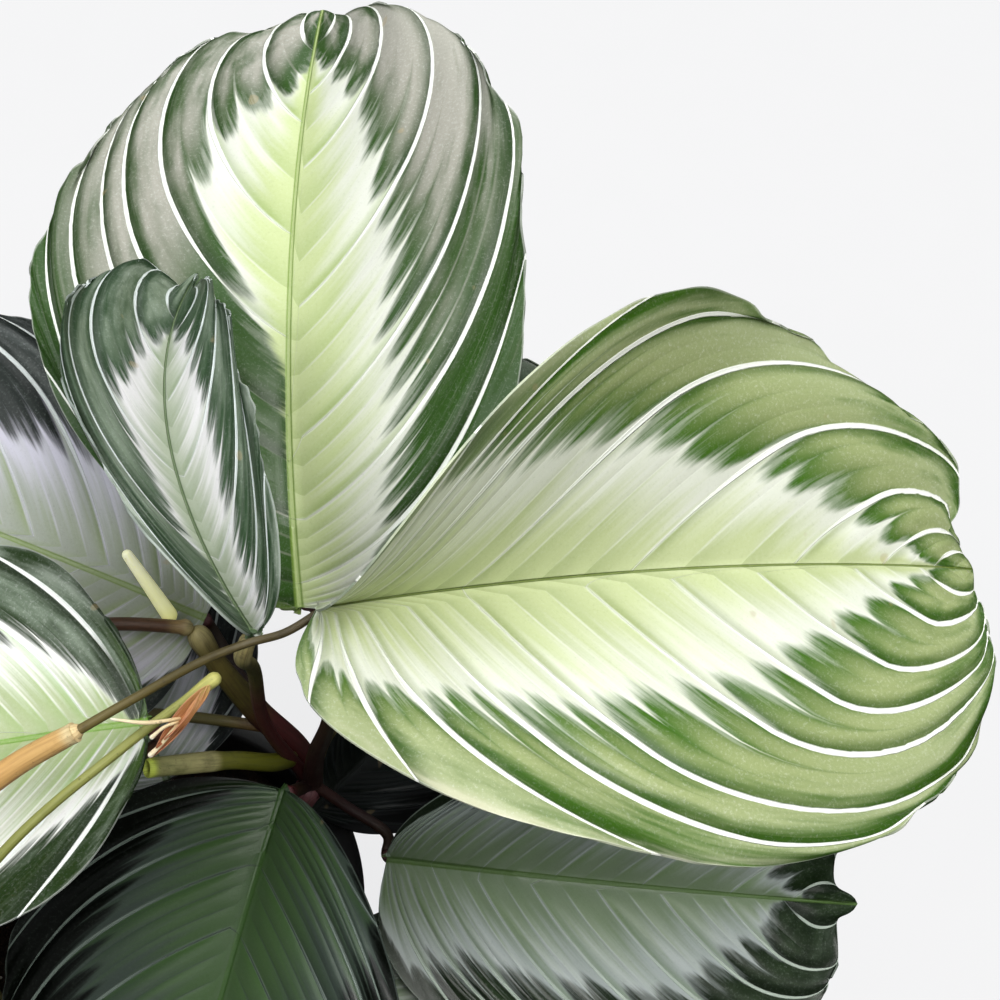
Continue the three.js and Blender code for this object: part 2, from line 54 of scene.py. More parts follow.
# %% Camera
MM = 0.001
LOOK_AT = (86, 24, 235)
LOOK_DOWN = 55
DISTANCE = 370
LENS = 70
SENSOR = 36

tilt = math.radians(LOOK_DOWN)
x, y, z = LOOK_AT
stand = (x, y - DISTANCE * math.cos(tilt), z + DISTANCE * math.sin(tilt))
bpy.ops.object.camera_add(
    location=[v * MM for v in stand],
    rotation=(math.radians(90 - LOOK_DOWN), 0, 0),
)
camera = bpy.context.active_object
camera.data.lens = LENS
camera.data.sensor_width = SENSOR
camera.data.clip_start = 0.01
bpy.context.scene.camera = camera
print("camera stands at", [round(v, 3) for v in camera.location])

# %% [markdown]
# ## Shader maths in plain writing
# A leaf's pattern is arithmetic: how far a point is from a vein, how wide the pale band is there.
# Math nodes could be wired by hand, but a formula is easier to read. So one small class wraps a
# socket, and + - * / on it add the Math nodes. One method makes every other kind of node.


# %% A value that runs between nodes
class Wire:
    """A node's output. Sums on it add Math nodes to the same material."""

    def __init__(self, finish, socket):
        self.finish = finish
        self.socket = socket

    def sum_of(self, operation, *values):
        return self.finish.node("ShaderNodeMath", {"operation": operation}, dict(enumerate(values)))

    def __add__(self, other):
        return self.sum_of("ADD", self, other)

    def __sub__(self, other):
        return self.sum_of("SUBTRACT", self, other)

    def __rsub__(self, other):
        return self.sum_of("SUBTRACT", other, self)

    def __mul__(self, other):
        return self.sum_of("MULTIPLY", self, other)

    def __truediv__(self, other):
        return self.sum_of("DIVIDE", self, other)

    def __pow__(self, other):
        return self.sum_of("POWER", self, other)

    def __abs__(self):
        return self.sum_of("ABSOLUTE", self)

    __radd__ = __add__
    __rmul__ = __mul__

    def to_nearest(self):
        """Distance to the nearest whole number, from 0 to a half."""
        return self.sum_of("PINGPONG", self, 0.5)

    def past_whole(self):
        """How far it is past the last whole number."""
        return self.sum_of("FRACT", self)

    def rise(self, low, high):
        """Goes smoothly from 0 at low to 1 at high."""
        settings = {"interpolation_type": "SMOOTHSTEP"}
        values = {"Value": self, "From Min": low, "From Max": high}
        return self.finish.node("ShaderNodeMapRange", settings, values)

    def fall(self, low, high):
        return 1 - self.rise(low, high)


print("operators ready: + - * / ** abs, to_nearest, past_whole, rise, fall")


# %% A finish is one material
class Finish:
    """A material whose nodes are added by the values that need them."""

    def __init__(self, name):
        self.material = bpy.data.materials.new(name)
        self.material.use_nodes = True
        self.nodes = self.material.node_tree.nodes
        self.links = self.material.node_tree.links
        self.shader = self.nodes["Principled BSDF"]

    def node(self, kind, settings=None, values=None, output=0):
        """Adds a node: settings first, then what its sockets hold or are linked to."""
        made = self.nodes.new(kind)
        for key, value in (settings or {}).items():
            setattr(made, key, value)
        for key, value in (values or {}).items():
            self.plug(made.inputs[key], value)
        return Wire(self, made.outputs[output])

    def plug(self, socket, value):
        """Links a socket or sets it. A colour may be red, green and blue from 0 to 255."""
        if isinstance(value, Wire):
            self.links.new(value.socket, socket)
        elif socket.type == "RGBA" and len(value) == 3:
            socket.default_value = colour(*value)
        else:
            socket.default_value = value

    def mix(self, a, b, share):
        """A colour between a and b."""
        settings = {"data_type": "RGBA"}
        return self.node("ShaderNodeMix", settings, {0: share, 6: a, 7: b}, output=2)

    def ramp(self, value, stops, interpolation):
        wire = self.node("ShaderNodeValToRGB", values={"Fac": value})
        band = wire.socket.node.color_ramp
        band.interpolation = interpolation
        while len(band.elements) < len(stops):
            band.elements.new(1)
        for element, (place, tone) in zip(band.elements, stops):
            element.position = place
            element.color = tone
        return wire

    def shades(self, value, stops):
        """A colour that changes with a value. stops: place, red, green and blue."""
        return self.ramp(value, [(place, colour(*tone)) for place, *tone in stops], "EASE")

    def curve(self, value, pairs):
        """A number that changes with a value, straight from pair to pair."""
        return self.ramp(value, [(place, (v, v, v, 1)) for place, v in pairs], "LINEAR")

    def vector(self, x=0.0, y=0.0, z=0.0):
        return self.node("ShaderNodeCombineXYZ", values={"X": x, "Y": y, "Z": z})

    def noise(self, vector, scale, detail=3, rough=0.5):
        values = {"Vector": vector, "Scale": scale, "Detail": detail, "Roughness": rough}
        return self.node("ShaderNodeTexNoise", values=values)

    def place(self):
        """Where a point of the piece is, in metres."""
        return self.node("ShaderNodeTexCoord", output="Object")

    def own_map(self, name):
        """The piece's own UV map, as two values."""
        uv = self.node("ShaderNodeUVMap", {"uv_map": name})
        split = self.node("ShaderNodeSeparateXYZ", values={0: uv})
        return split, Wire(self, split.socket.node.outputs[1])

    def attribute(self, name):
        return self.node("ShaderNodeAttribute", {"attribute_name": name}, output="Fac")

    def bump(self, height, metres):
        """Small relief that light alone shows, this many metres high."""
        values = {"Height": height, "Distance": metres}
        return self.node("ShaderNodeBump", values=values, output="Normal")

    def wear(self, **parts):
        """Sets the shader's own sockets, such as base_color or roughness."""
        for key, value in parts.items():
            socket = key.replace("_", " ").title().replace("Ior", "IOR")
            self.plug(self.shader.inputs[socket], value)
        return self.material


def colour(red, green, blue):
    """A colour from 0 to 255 a channel, as paint cards give it, in the renderer's light."""
    shares = [v / 255 for v in (red, green, blue)]
    light = [v / 12.92 if v < 0.04 else ((v + 0.055) / 1.055) ** 2.4 for v in shares]
    return (*light, 1)


print("a mid green in light:", [round(v, 3) for v in colour(90, 120, 60)])

# %% [markdown]
# ## The floor and the light
# The photograph has an even, nearly white ground with no clear shadow. The floor here glows a
# little by itself, so it stays pale, and a faint soft shadow still shows where the pot stands.
# It is kept out of the bounced light, because the low leaves of the plant are nearly black
# beneath: light from a glowing floor would grey them.

# %% Floor
bpy.ops.object.select_all(action="DESELECT")
bpy.ops.mesh.primitive_circle_add(vertices=96, radius=12, fill_type="NGON", location=(0, 0, -0.0005))
floor = bpy.context.active_object
floor.name = "floor"
floor_finish = Finish("floor_paper")
grain = floor_finish.noise(floor_finish.place(), 40)
paper = floor_finish.mix((88, 88, 88), (92, 92, 92), grain)
floor.data.materials.append(
    floor_finish.wear(
        base_color=paper,
        roughness=0.9,
        specular_ior_level=0.0,
        emission_color=(245, 245, 246),
        emission_strength=0.87,
    )
)
floor.visible_diffuse = False
floor.visible_glossy = False
print("floor is", round(floor.dimensions.x, 1), "m across")


# %% Lamps
def softbox(name, place, aim, size, power, tint):
    """A square lamp that shines on a point."""
    bpy.ops.object.light_add(type="AREA", location=place)
    lamp = bpy.context.active_object
    lamp.name = name
    lamp.data.size = size
    lamp.data.energy = power
    lamp.data.color = tint
    towards = Vector(aim) - Vector(place)
    lamp.rotation_euler = towards.to_track_quat("-Z", "Y").to_euler()
    return lamp


PLANT_HEART = (0.04, 0, 0.2)
softbox("window", (0.45, -0.4, 1.5), PLANT_HEART, 0.7, 17, (1, 0.99, 0.96))
softbox("far_window", (0.2, 1.05, 1.55), PLANT_HEART, 1.0, 9, (0.98, 1, 1))
softbox("overhead", (-0.6, -0.3, 1.4), PLANT_HEART, 0.9, 9, (0.98, 1, 1))

# %% Light of the room
room = bpy.data.worlds.new("room")
bpy.context.scene.world = room
room.use_nodes = True
sky_nodes = room.node_tree.nodes
sky_coordinate = sky_nodes.new("ShaderNodeTexCoord")
sky_split = sky_nodes.new("ShaderNodeSeparateXYZ")
sky_ramp = sky_nodes.new("ShaderNodeValToRGB")
SKY_STOPS = ((0.42, (0.02, 0.02, 0.02, 1)), (0.8, (0.3, 0.31, 0.32, 1)))
for element, (place, tone) in zip(sky_ramp.color_ramp.elements, SKY_STOPS):
    element.position = place
    element.color = tone
sky_height = sky_nodes.new("ShaderNodeMath")
sky_height.operation = "MULTIPLY_ADD"
sky_height.inputs[1].default_value = 0.5
sky_height.inputs[2].default_value = 0.5
for start, end in (
    (sky_coordinate.outputs["Generated"], sky_split.inputs[0]),
    (sky_split.outputs["Z"], sky_height.inputs[0]),
    (sky_height.outputs[0], sky_ramp.inputs["Fac"]),
    (sky_ramp.outputs["Color"], sky_nodes["Background"].inputs["Color"]),
):
    room.node_tree.links.new(start, end)
bpy.context.scene.view_settings.view_transform = "Standard"
print("the room is brighter above than below")

# %% [markdown]
# ## The leaves
# A blade is one thin skin, bent in several ways at once. It could be cut from a flat sheet and
# pulled into shape by hand, but every leaf of the plant shares the same build: side veins leave
# the midrib, swing forward and run out along the margin. So the blade starts as a grid whose
# rows are the veins and whose columns run from margin to midrib to margin. The rows are then laid
# into the outline of a leaf, and the flat leaf is folded, curled, swept and drooped. The pattern
# becomes simple as well: along a row of the grid the colour changes just as along a vein.

# %% The leaves' own sizes, in millimetres and degrees
HALVES = (0, 1)
LEAF_WORDS = (
    "base heading pitch roll length left right droop sweep fold curl base_fold shift fullness "
    "lobe hip cusp vein_angle wave waves phase"
).split()
LEAF_SIZES = {
    "back_tall": (
        (46.1, 16.5, 208.5), 96.5, 33, -23, 138.1, 54.1, 54.1, 34, 0,
        (16, 8.5), (12.5, 5), (35, 2.5), -0.03, 0.98, (-0.09, 0.04), (0.03, -0.02), 0.02,
        58, (1, 1.7), (5.4, 5.1), (-0.1, -0.33),
    ),
    "right_large": (
        (53.3, -3.5, 240.7), 10.5, -0.5, 12, 139.5, 51.5, 56, 30, 0,
        (16, 3.5), (-3.5, 8.5), (97, 24.5), -0.02, 0.97, (0.03, 0.1), (0.02, -0.13), 0.01,
        44, (3.1, 2.4), (3.2, 4.4), (1.53, 0.25),
    ),
    "back_small": (
        (41.6, -6.7, 236.3), 128, 21.5, 15, 90.6, 24.4, 20.4, 27, -60.5,
        (29, 54.5), (-3.5, 1.5), (22.5, 17), -0.02, 0.89, (0.01, 0.01), (-0.06, 0.04), 0.07,
        62, (2, 1.4), (4.5, 4.8), (0.22, -0.04),
    ),
    "left_back": (
        (21.9, 33.1, 177.2), 162.5, 16, -17.5, 125.8, 50.3, 48.8, 20, 0,
        (8, 6), (12, 15), (10, 9), 0, 0.8, (0.03, 0.03), (0, 0.01), 0.06,
        50, (2, 2.1), (5, 4.9), (0, -0.07),
    ),
    "left_front": (
        (17.2, -5.7, 201.7), 185.5, -4, -1.5, 111.5, 45.5, 46, 18.5, 0,
        (9, 9.5), (11, 12), (10.5, 18), -0.01, 0.82, (0.03, -0.01), (0, 0.01), 0.06,
        50, (2.1, 2), (5.2, 5), (0.29, 0),
    ),
    "front": (
        (38.8, 3.7, 153.5), -108.5, -22, 4.5, 119.5, 50, 50.5, 21.5, 0,
        (11.5, 8.5), (12.5, 19.5), (29, 11), 0, 0.87, (-0.02, 0), (-0.02, 0.01), 0.06,
        50, (2, 2), (5.1, 5), (0.09, 0),
    ),
    "right_low": (
        (60.2, -0.8, 128.1), -7, -1.5, 32, 113, 39.5, 44.5, 22, 0,
        (14.5, 14.5), (8, 8), (31.5, 10), 0.04, 0.79, (-0.03, 0.03), (-0.04, -0.04), 0.06,
        50, (2, 2.3), (5, 4.7), (0, -0.04),
    ),
}
PLAIN_LEAVES = {
    "back_right": ((60, 34, 150), 62, 14, 6, 98, 38, 40, 22, 0, (0.6, 0.4)),
    "back_left": ((10, 14, 138), 118, 12, -4, 110, 40, 38, 22, 0, (0.2, 0.4)),
    "left_low": ((-38, 26, 163), 172, -6, 4, 100, 38, 38, 22, 0, (0.8, 0.4)),
    "left_top": ((-44, -48, 222), 192, 12, 6, 96, 37, 38, 30, 8, (0.35, 0.4)),
    "front_left": ((-40, -12, 132), 205, 0, 0, 110, 42, 41, 34, 0, (0.15, 0.4)),
    "front_right": ((44, -20, 113.5), -44, -3, -5, 104, 38, 39, 22, 0, (0.55, 0.4)),
    "right_under": ((41, 18, 114), 50, 0, -4, 106, 16, 36, 18, 0, (0.25, 0.4)),
}
PLAIN_SHAPE = (
    (9, 9), (12, 12), (12, 12), 0, 0.82, (0.02, 0.03), (0, 0), 0.06, 50, (1.8, 1.8), (5, 5),
)
for word, (*start, ends) in PLAIN_LEAVES.items():
    LEAF_SIZES[word] = (*start, *PLAIN_SHAPE, ends)
LEAVES = {word: dict(zip(LEAF_WORDS, sizes)) for word, sizes in LEAF_SIZES.items()}
print("leaves:", len(LEAVES), "from", min(v["length"] for v in LEAVES.values()), "mm long")

# %% Where the main veins are
# Rows of the main veins, from the stalk to the tip: left half, then right half.
FINE_VEINS = 21
EVEN_VEINS = (
    (0.1, 0.22, 0.34, 0.46, 0.58, 0.7, 0.82, 0.92),
    (0.06, 0.16, 0.28, 0.4, 0.52, 0.64, 0.76, 0.87, 0.95),
)
VEIN_ROWS = {
    "back_tall": (
        (0.1, 0.23, 0.41, 0.51, 0.575, 0.67, 0.78, 0.89, 0.96),
        (0.07, 0.2, 0.375, 0.52, 0.69, 0.84, 0.915, 0.965),
    ),
    "right_large": (
        (0.03, 0.075, 0.14, 0.28, 0.485, 0.687, 0.842, 0.92, 0.965),
        (0.03, 0.088, 0.18, 0.315, 0.435, 0.6, 0.7, 0.79, 0.887, 0.95),
    ),
    "back_small": (
        (0.15, 0.3, 0.48, 0.66, 0.84, 0.92),
        (0.12, 0.27, 0.44, 0.64, 0.78, 0.89),
    ),
    "left_back": (
        (0.1, 0.24, 0.38, 0.52, 0.66, 0.8, 0.91),
        (0.06, 0.18, 0.32, 0.46, 0.6, 0.74, 0.87, 0.95),
    ),
    "left_front": (
        (0.1, 0.28, 0.46, 0.62, 0.76, 0.88, 0.95),
        (0.13, 0.35, 0.55, 0.72, 0.86, 0.94),
    ),
    "front": (
        (0.06, 0.16, 0.28, 0.42, 0.56, 0.7, 0.82, 0.92),
        (0.08, 0.18, 0.3, 0.41, 0.54, 0.67, 0.8, 0.9, 0.96),
    ),
    "right_low": (
        (0.08, 0.2, 0.34, 0.48, 0.62, 0.75, 0.86, 0.93),
        (0.1, 0.22, 0.34, 0.46, 0.57, 0.68, 0.77, 0.85, 0.92),
    ),
}


def panels_of(row, veins):
    """Counts main veins, then the fine veins between them, up to each row."""
    stops = [0, *veins, 1]
    fine_at = [0.0]
    fine_count = [0]
    for low, high in zip(stops, stops[1:]):
        parts = min(5, max(2, round((high - low) * FINE_VEINS)))
        fine_at += [low + (high - low) * (i + 1) / parts for i in range(parts)]
        fine_count += [fine_count[-1] + i + 1 for i in range(parts)]
    return np.interp(row, stops, range(len(stops))), np.interp(row, fine_at, fine_count)


# how far a vein drifts to other rows: beside the midrib, out by the margin, and the row from
# which it drifts in full
EVEN_DRIFT = ((0.02, 0.07, 0.4), (0.02, 0.07, 0.4))
VEIN_DRIFT = {
    "back_tall": ((0, 0.06, 0.3), (0.04, 0.07, 0.3)),
    "right_large": ((0, 0.11, 0.3), (0.12, 0.34, 0.9)),
}
# nicks and bulges of the margin: place along it, its reach there, and how far out it goes in mm
NICKS = {
    "back_tall": (
        (
            (0.5, 0.03, 1.3), (0.645, 0.03, -2.2), (0.78, 0.014, -1.8),
            (0.865, 0.025, 1.8), (0.93, 0.016, -1.6),
        ),
        (
            (0.56, 0.03, -1.2), (0.645, 0.022, 2.3), (0.7, 0.012, -0.8),
            (0.8, 0.03, 0.8), (0.9, 0.012, -0.8),
        ),
    ),
    "right_large": (
        (
            (0.61, 0.014, -1.4), (0.675, 0.02, 1.3), (0.8, 0.014, -1.5),
            (0.882, 0.02, 1.9), (0.946, 0.011, -2.8),
        ),
        ((0.14, 0.02, -0.5), (0.725, 0.025, -1.6), (0.82, 0.025, 1.5), (0.93, 0.012, -1)),
    ),
    "left_front": (
        ((0.14, 0.08, -1.7), (0.6, 0.03, -0.5)),
        ((0.14, 0.08, -1.7), (0.55, 0.03, -0.6)),
    ),
    "back_small": (
        ((0.7, 0.03, -0.6), (0.8, 0.03, 0.6)),
        ((0.55, 0.03, -0.6), (0.68, 0.03, 0.5), (0.8, 0.03, -0.8)),
    ),
    "right_low": (((0.35, 0.03, -0.6), (0.9, 0.02, -0.8)), ((0.94, 0.015, 1.6),)),
}
EVEN_NICKS = (((0.4, 0.02, -0.5), (0.72, 0.03, -0.7)), ((0.5, 0.02, -0.6), (0.8, 0.02, -0.5)))
for word, leaf in LEAVES.items():
    leaf["veins"] = VEIN_ROWS.get(word, EVEN_VEINS)
    leaf["drift"] = VEIN_DRIFT.get(word, EVEN_DRIFT)
    leaf["nicks"] = NICKS.get(word, EVEN_NICKS)
tall_panels = panels_of(1.0, VEIN_ROWS["back_tall"][1])
print("fine veins on the tall leaf's right half:", int(tall_panels[1]))

# %% [markdown]
# ### From grid to flat leaf
# Five plain sums do it. `margin` gives the outline of one half, from the stalk to the tip, and
# `nick_push` the nicks and bulges that a grown leaf has there. `lay_flat` draws each row as a
# smooth curve from the midrib to that outline. `vein_row` lets the real veins drift a little off
# those rows. `relief` sinks the veins, swells the panels between them and waves the margin, in
# long waves and small crimps.

# %% Outline, veins and relief
MARGIN_POWER = 0.5  # how the rows crowd along the margin
MIDRIB_POWER = 2.3  # and along the midrib
WIDER_BY_STALK = 42  # degrees that the first veins leave the midrib more steeply
LEAVE_PULL = 1.1  # how far a vein keeps its first direction
ARRIVE_PULL = 0.75  # how far it runs beside the margin
LEAF_MIDDLE = 0.45  # nicks point to this share of the length
RIB_DEPTH = 0.7
CRIMP = 0.22


def smooth(value, low, high):
    share = np.clip((value - low) / (high - low), 0, 1)
    return share * share * (3 - 2 * share)


def unit(rows):
    """The same directions, each one long."""
    return rows / (np.linalg.norm(rows, axis=-1, keepdims=True) + 1e-9)


def margin(s, leaf, half):
    """How far out and how far along the outline is, s from 0 at the stalk to 1 at the tip."""
    turn = np.pi * s
    rise = np.maximum(np.sin(turn), 0)
    tip = np.clip((s - 0.94) / 0.06, 0, 1)
    across = rise ** leaf["fullness"] + leaf["hip"][half] * np.sin(2 * turn)
    along = (1 - np.cos(turn)) / 2 + leaf["shift"] * rise**2
    along = along * (1 - leaf["cusp"])
    along = along - leaf["lobe"][half] * 2 * rise * np.cos(turn / 2) ** 2 + leaf["cusp"] * tip**2
    across = across * (1 - 0.45 * np.sin(np.pi * tip) * min(1, leaf["cusp"] / 0.04))
    width = leaf["left"] if half == 0 else leaf["right"]
    return np.stack([across * width, along * leaf["length"]], -1)


def nick_push(s, outline, leaf, half):
    """How far the nicks and bulges move the margin."""
    outward = unit(outline - np.array([0, LEAF_MIDDLE * leaf["length"]]))
    push = 0 * s
    for place, reach, out in leaf["nicks"][half]:
        push = push + out * np.exp(-(((s - place) / reach) ** 2))
    return outward * push[..., None]


def lay_flat(row, u, leaf, half):
    """A point of the flat leaf: row picks the vein, u runs along it from midrib to margin."""
    s = row**MARGIN_POWER
    start = np.stack([0 * row, row**MIDRIB_POWER * leaf["length"]], -1)
    end = margin(s, leaf, half)
    ahead, behind = np.minimum(s + 0.001, 1), np.maximum(s - 0.001, 0)
    edge = unit(margin(ahead, leaf, half) - margin(behind, leaf, half))
    reach = np.linalg.norm(end - start, axis=-1, keepdims=True)
    leave = np.radians(leaf["vein_angle"] + WIDER_BY_STALK * (1 - row) ** 3)
    out = np.stack([np.sin(leave), np.cos(leave)], -1) * reach * LEAVE_PULL
    swing = np.clip(row * 2.5, 0, 1)[:, None]
    arrive = edge * reach * ARRIVE_PULL * swing + (end - start) * (1 - swing)
    push = nick_push(s, end, leaf, half) * smooth(u, 0.72, 1)[:, None]
    u = u[:, None]
    point = start * (2 * u**3 - 3 * u**2 + 1) + out * (u**3 - 2 * u**2 + u)
    return point + end * (3 * u**2 - 2 * u**3) + arrive * (u**3 - u**2) + push


def vein_row(row, u, leaf, half):
    """The row, at the middle of the half, of the vein that runs through a point."""
    near, far, full = leaf["drift"][half]
    beside = near * np.clip(1 - u / 0.4, 0, 1) ** 2 * smooth(row, 0, 0.2) * (1 - row) ** 1.5
    beyond = far * smooth(u, 0.45, 1.05) * smooth(row, 0, full) * smooth(1 - row, 0, 0.25)
    return np.clip(row - beside - beyond, 0, 1)


def relief(row, u, leaf, half):
    """How far the upper face stands above or below its mean, in millimetres."""
    vein = vein_row(row, u, leaf, half)
    panel = 1 - 2 * np.abs(np.sin(np.pi * panels_of(vein, leaf["veins"][half])[0])) ** 0.8
    ribs = panel * np.sin(np.pi * np.minimum(u, 0.9))
    turns = leaf["waves"][half] * row**MARGIN_POWER + leaf["phase"][half]
    wave = leaf["wave"][half] * u**2.5 * np.sin(2 * np.pi * turns)
    crimp = np.sin(31 * turns + 1.3) + np.sin(19.3 * turns + half) * np.sin(7.1 * turns)
    wave = wave + CRIMP * u**7 * crimp
    return (wave - RIB_DEPTH * ribs) * smooth(row, 0.02, 0.25) * smooth(1 - row, 0, 0.06)


widest = margin(np.array([0.5]), LEAVES["back_tall"], 0)[0]
print("middle of the tall leaf's margin:", widest.round(1))

# %% [markdown]
# ### From flat leaf to living leaf
# A real blade folds up along its midrib, most of all by the stalk, each half curls back down,
# and the tip hangs. Each of these is a turn along an arc, so no stretch of the blade gets longer.


# %% Bend
def leaf_axes(leaf):
    """Directions at the stalk: along the midrib, to the left, and out of the upper face."""
    az = math.radians(leaf["heading"])
    pitch = math.radians(leaf["pitch"])
    roll = math.radians(leaf["roll"])
    level_run = math.cos(pitch)
    along = np.array([math.cos(az) * level_run, math.sin(az) * level_run, math.sin(pitch)])
    level = np.array([-math.sin(az), math.cos(az), 0])
    upright = np.cross(along, level)
    left = level * math.cos(roll) + upright * math.sin(roll)
    return along, left, upright * math.cos(roll) - level * math.sin(roll)


def bend(flat, lift, leaf, half):
    """Bends flat leaf points into their place in the plant."""
    along, left, up = leaf_axes(leaf)
    length = leaf["length"]
    width = leaf["left"] if half == 0 else leaf["right"]
    side = 1 if half == 0 else -1
    far = flat[:, 1] / length
    near = np.clip(1 - far, 0, 1.2) ** 2.5
    fold = np.radians(leaf["fold"][half] + leaf["base_fold"][half] * near)
    curl = math.radians(leaf["curl"][half])
    turned = fold - curl * flat[:, 0] / width
    lateral = width / curl * (np.sin(fold) - np.sin(turned))
    height = width / curl * (np.cos(turned) - np.cos(fold)) + lift
    sweep = math.radians(leaf["sweep"] or 0.01)
    swept = sweep * far
    across = length * (1 - np.cos(swept)) / sweep + side * lateral * np.cos(swept)
    ahead = length * np.sin(swept) / sweep - side * lateral * np.sin(swept)
    droop = math.radians(leaf["droop"])
    drooped = droop * ahead / length
    forward = length * np.sin(drooped) / droop + height * np.sin(drooped)
    fallen = -length * (1 - np.cos(drooped)) / droop + height * np.cos(drooped)
    moved = forward[:, None] * along + fallen[:, None] * up + across[:, None] * left
    return moved + np.array(leaf["base"])


print("the tall leaf rises along", leaf_axes(LEAVES["back_tall"])[0].round(2))

# %% [markdown]
# ### Making one blade
# The grid primitive gives the net. Its rows lie closer together by the stalk, where the veins
# fan out. Measures are kept on each vertex for the finish: its vein's row, the count of main and
# of fine veins up to there, how many millimetres lie between two main or two fine veins, and the
# distance from the midrib. Then Solidify gives the skin its thickness, thick under the midrib,
# where the keel is, and thin at the margin.

# %% Grid rows
COLUMNS = 56
ROWS = 150
KEEL = 1.9  # thickness under the midrib in mm
SKIN = 0.4  # and everywhere else
KEEL_REACH = 1.6  # how far from the midrib the keel ends
KEEL_FADE = 0.85  # how much of it is gone at the tip


def row_at(share):
    """The vein row of a grid row: closer together by the stalk."""
    return np.clip(share, 0, 1) ** 1.4


print("first rows:", row_at(np.arange(4) / ROWS).round(4))


# %% Blade
def deselect():
    bpy.ops.object.select_all(action="DESELECT")


def only(piece):
    """Makes one piece the selected and active one."""
    deselect()
    piece.select_set(True)
    bpy.context.view_layer.objects.active = piece
    return piece


def take_name(name):
    piece = bpy.context.active_object
    piece.name = name
    piece.data.name = name
    return piece


def net_of(piece):
    """The vertices of a mesh as rows of x, y, z."""
    flat = np.empty(len(piece.data.vertices) * 3)
    piece.data.vertices.foreach_get("co", flat)
    return flat.reshape(-1, 3)


def grid(name, columns, rows):
    """A flat grid from -1 to 1 both ways, and its net."""
    deselect()
    bpy.ops.mesh.primitive_grid_add(x_subdivisions=columns, y_subdivisions=rows, size=2)
    piece = take_name(name)
    return piece, net_of(piece)


def move_net(piece, points):
    piece.data.vertices.foreach_set("co", np.asarray(points).ravel())
    piece.data.update()


def keep_measure(piece, name, values):
    layer = piece.data.attributes.new(name, "FLOAT", "POINT")
    layer.data.foreach_set("value", values.astype(np.float32))


def set_map(piece, name, u, v):
    """Writes the piece's own UV map from one pair of values a vertex."""
    layer = piece.data.uv_layers[0]
    layer.name = name
    corners = np.empty(len(piece.data.loops), dtype=np.int32)
    piece.data.loops.foreach_get("vertex_index", corners)
    pairs = np.stack([u[corners], v[corners]], -1)
    layer.data.foreach_set("uv", pairs.astype(np.float32).ravel())


def edit_all(piece, operator, **settings):
    """Runs one mesh operator on the whole of a piece."""
    only(piece)
    bpy.ops.object.mode_set(mode="EDIT")
    bpy.ops.mesh.select_all(action="SELECT")
    operator(**settings)
    bpy.ops.object.mode_set(mode="OBJECT")


def merge_close(piece, distance):
    edit_all(piece, bpy.ops.mesh.remove_doubles, threshold=distance)


def face_outwards(piece):
    edit_all(piece, bpy.ops.mesh.normals_make_consistent, inside=False)


def thicken(piece, thickness, group=None, thin=1.0):
    """Gives a skin its thickness, downwards; a vertex group makes some of it thinner."""
    only(piece)
    solidify = piece.modifiers.new("skin", "SOLIDIFY")
    solidify.thickness = thickness * MM
    solidify.offset = -1
    solidify.material_offset = 1
    solidify.material_offset_rim = 1
    if group:
        solidify.vertex_group = group
        solidify.thickness_vertex_group = thin
    bpy.ops.object.modifier_apply(modifier=solidify.name)


def soften(piece, angle=50):
    only(piece)
    bpy.ops.object.shade_smooth_by_angle(angle=math.radians(angle))


MEASURES = ("vein_row", "main_veins", "fine_veins", "main_room", "fine_room", "off_midrib")


def around(value, step):
    """A little more and a little less, both between 0 and 1."""
    return np.minimum(value + step, 1), np.maximum(value - step, 0)


def measure(row, u, leaf, half):
    """What the finish needs to know at each point, in the order of MEASURES."""
    up, down = around(row, 0.004)
    out, back = around(u, 0.01)
    along = lay_flat(up, u, leaf, half) - lay_flat(down, u, leaf, half)
    across = lay_flat(row, out, leaf, half) - lay_flat(row, back, leaf, half)
    along_step = vein_row(up, u, leaf, half) - vein_row(down, u, leaf, half)
    across_step = vein_row(row, out, leaf, half) - vein_row(row, back, leaf, half)
    slope_x = along_step * across[:, 1] - across_step * along[:, 1]
    slope_y = along_step * across[:, 0] - across_step * along[:, 0]
    area = np.abs(along[:, 0] * across[:, 1] - along[:, 1] * across[:, 0])
    room = area / (np.hypot(slope_x, slope_y) + 1e-9)
    vein = vein_row(row, u, leaf, half)
    veins = leaf["veins"][half]
    main, fine = panels_of(vein, veins)
    next_vein, last_vein = around(vein, 0.003)
    ahead, behind = panels_of(next_vein, veins), panels_of(last_vein, veins)
    spread = next_vein - last_vein
    main_room = room * spread / (ahead[0] - behind[0])
    fine_room = room * spread / (ahead[1] - behind[1])
    return vein, main, fine, main_room, fine_room, lay_flat(row, u, leaf, half)[:, 0]


def leaf_blade(word, leaf):
    """One blade, in its place."""
    piece, net = grid("blade_" + word, COLUMNS, ROWS)
    x = net[:, 0]
    row = row_at((net[:, 1] + 1) / 2)
    u = np.abs(x)
    points = np.zeros_like(net)
    measures = np.zeros((len(MEASURES), len(net)))
    for half in HALVES:
        mine = (x <= 0) if half == 0 else (x > 0)
        flat = lay_flat(row[mine], u[mine], leaf, half)
        lift = relief(row[mine], u[mine], leaf, half)
        points[mine] = bend(flat, lift, leaf, half)
        measures[:, mine] = measure(row[mine], u[mine], leaf, half)
    set_map(piece, "Leaf", (x + 1) / 2, row)
    for name, values in zip(MEASURES, measures):
        keep_measure(piece, name, values)
    move_net(piece, points * MM)
    keel = piece.vertex_groups.new(name="keel")
    for index, (away, along) in enumerate(zip(measures[-1], row)):
        share = max(0.0, 1 - abs(away) / KEEL_REACH) * (1 - KEEL_FADE * along)
        keel.add([index], share, "REPLACE")
    merge_close(piece, 1e-5)
    thicken(piece, KEEL, "keel", SKIN / KEEL)
    soften(piece)
    return piece


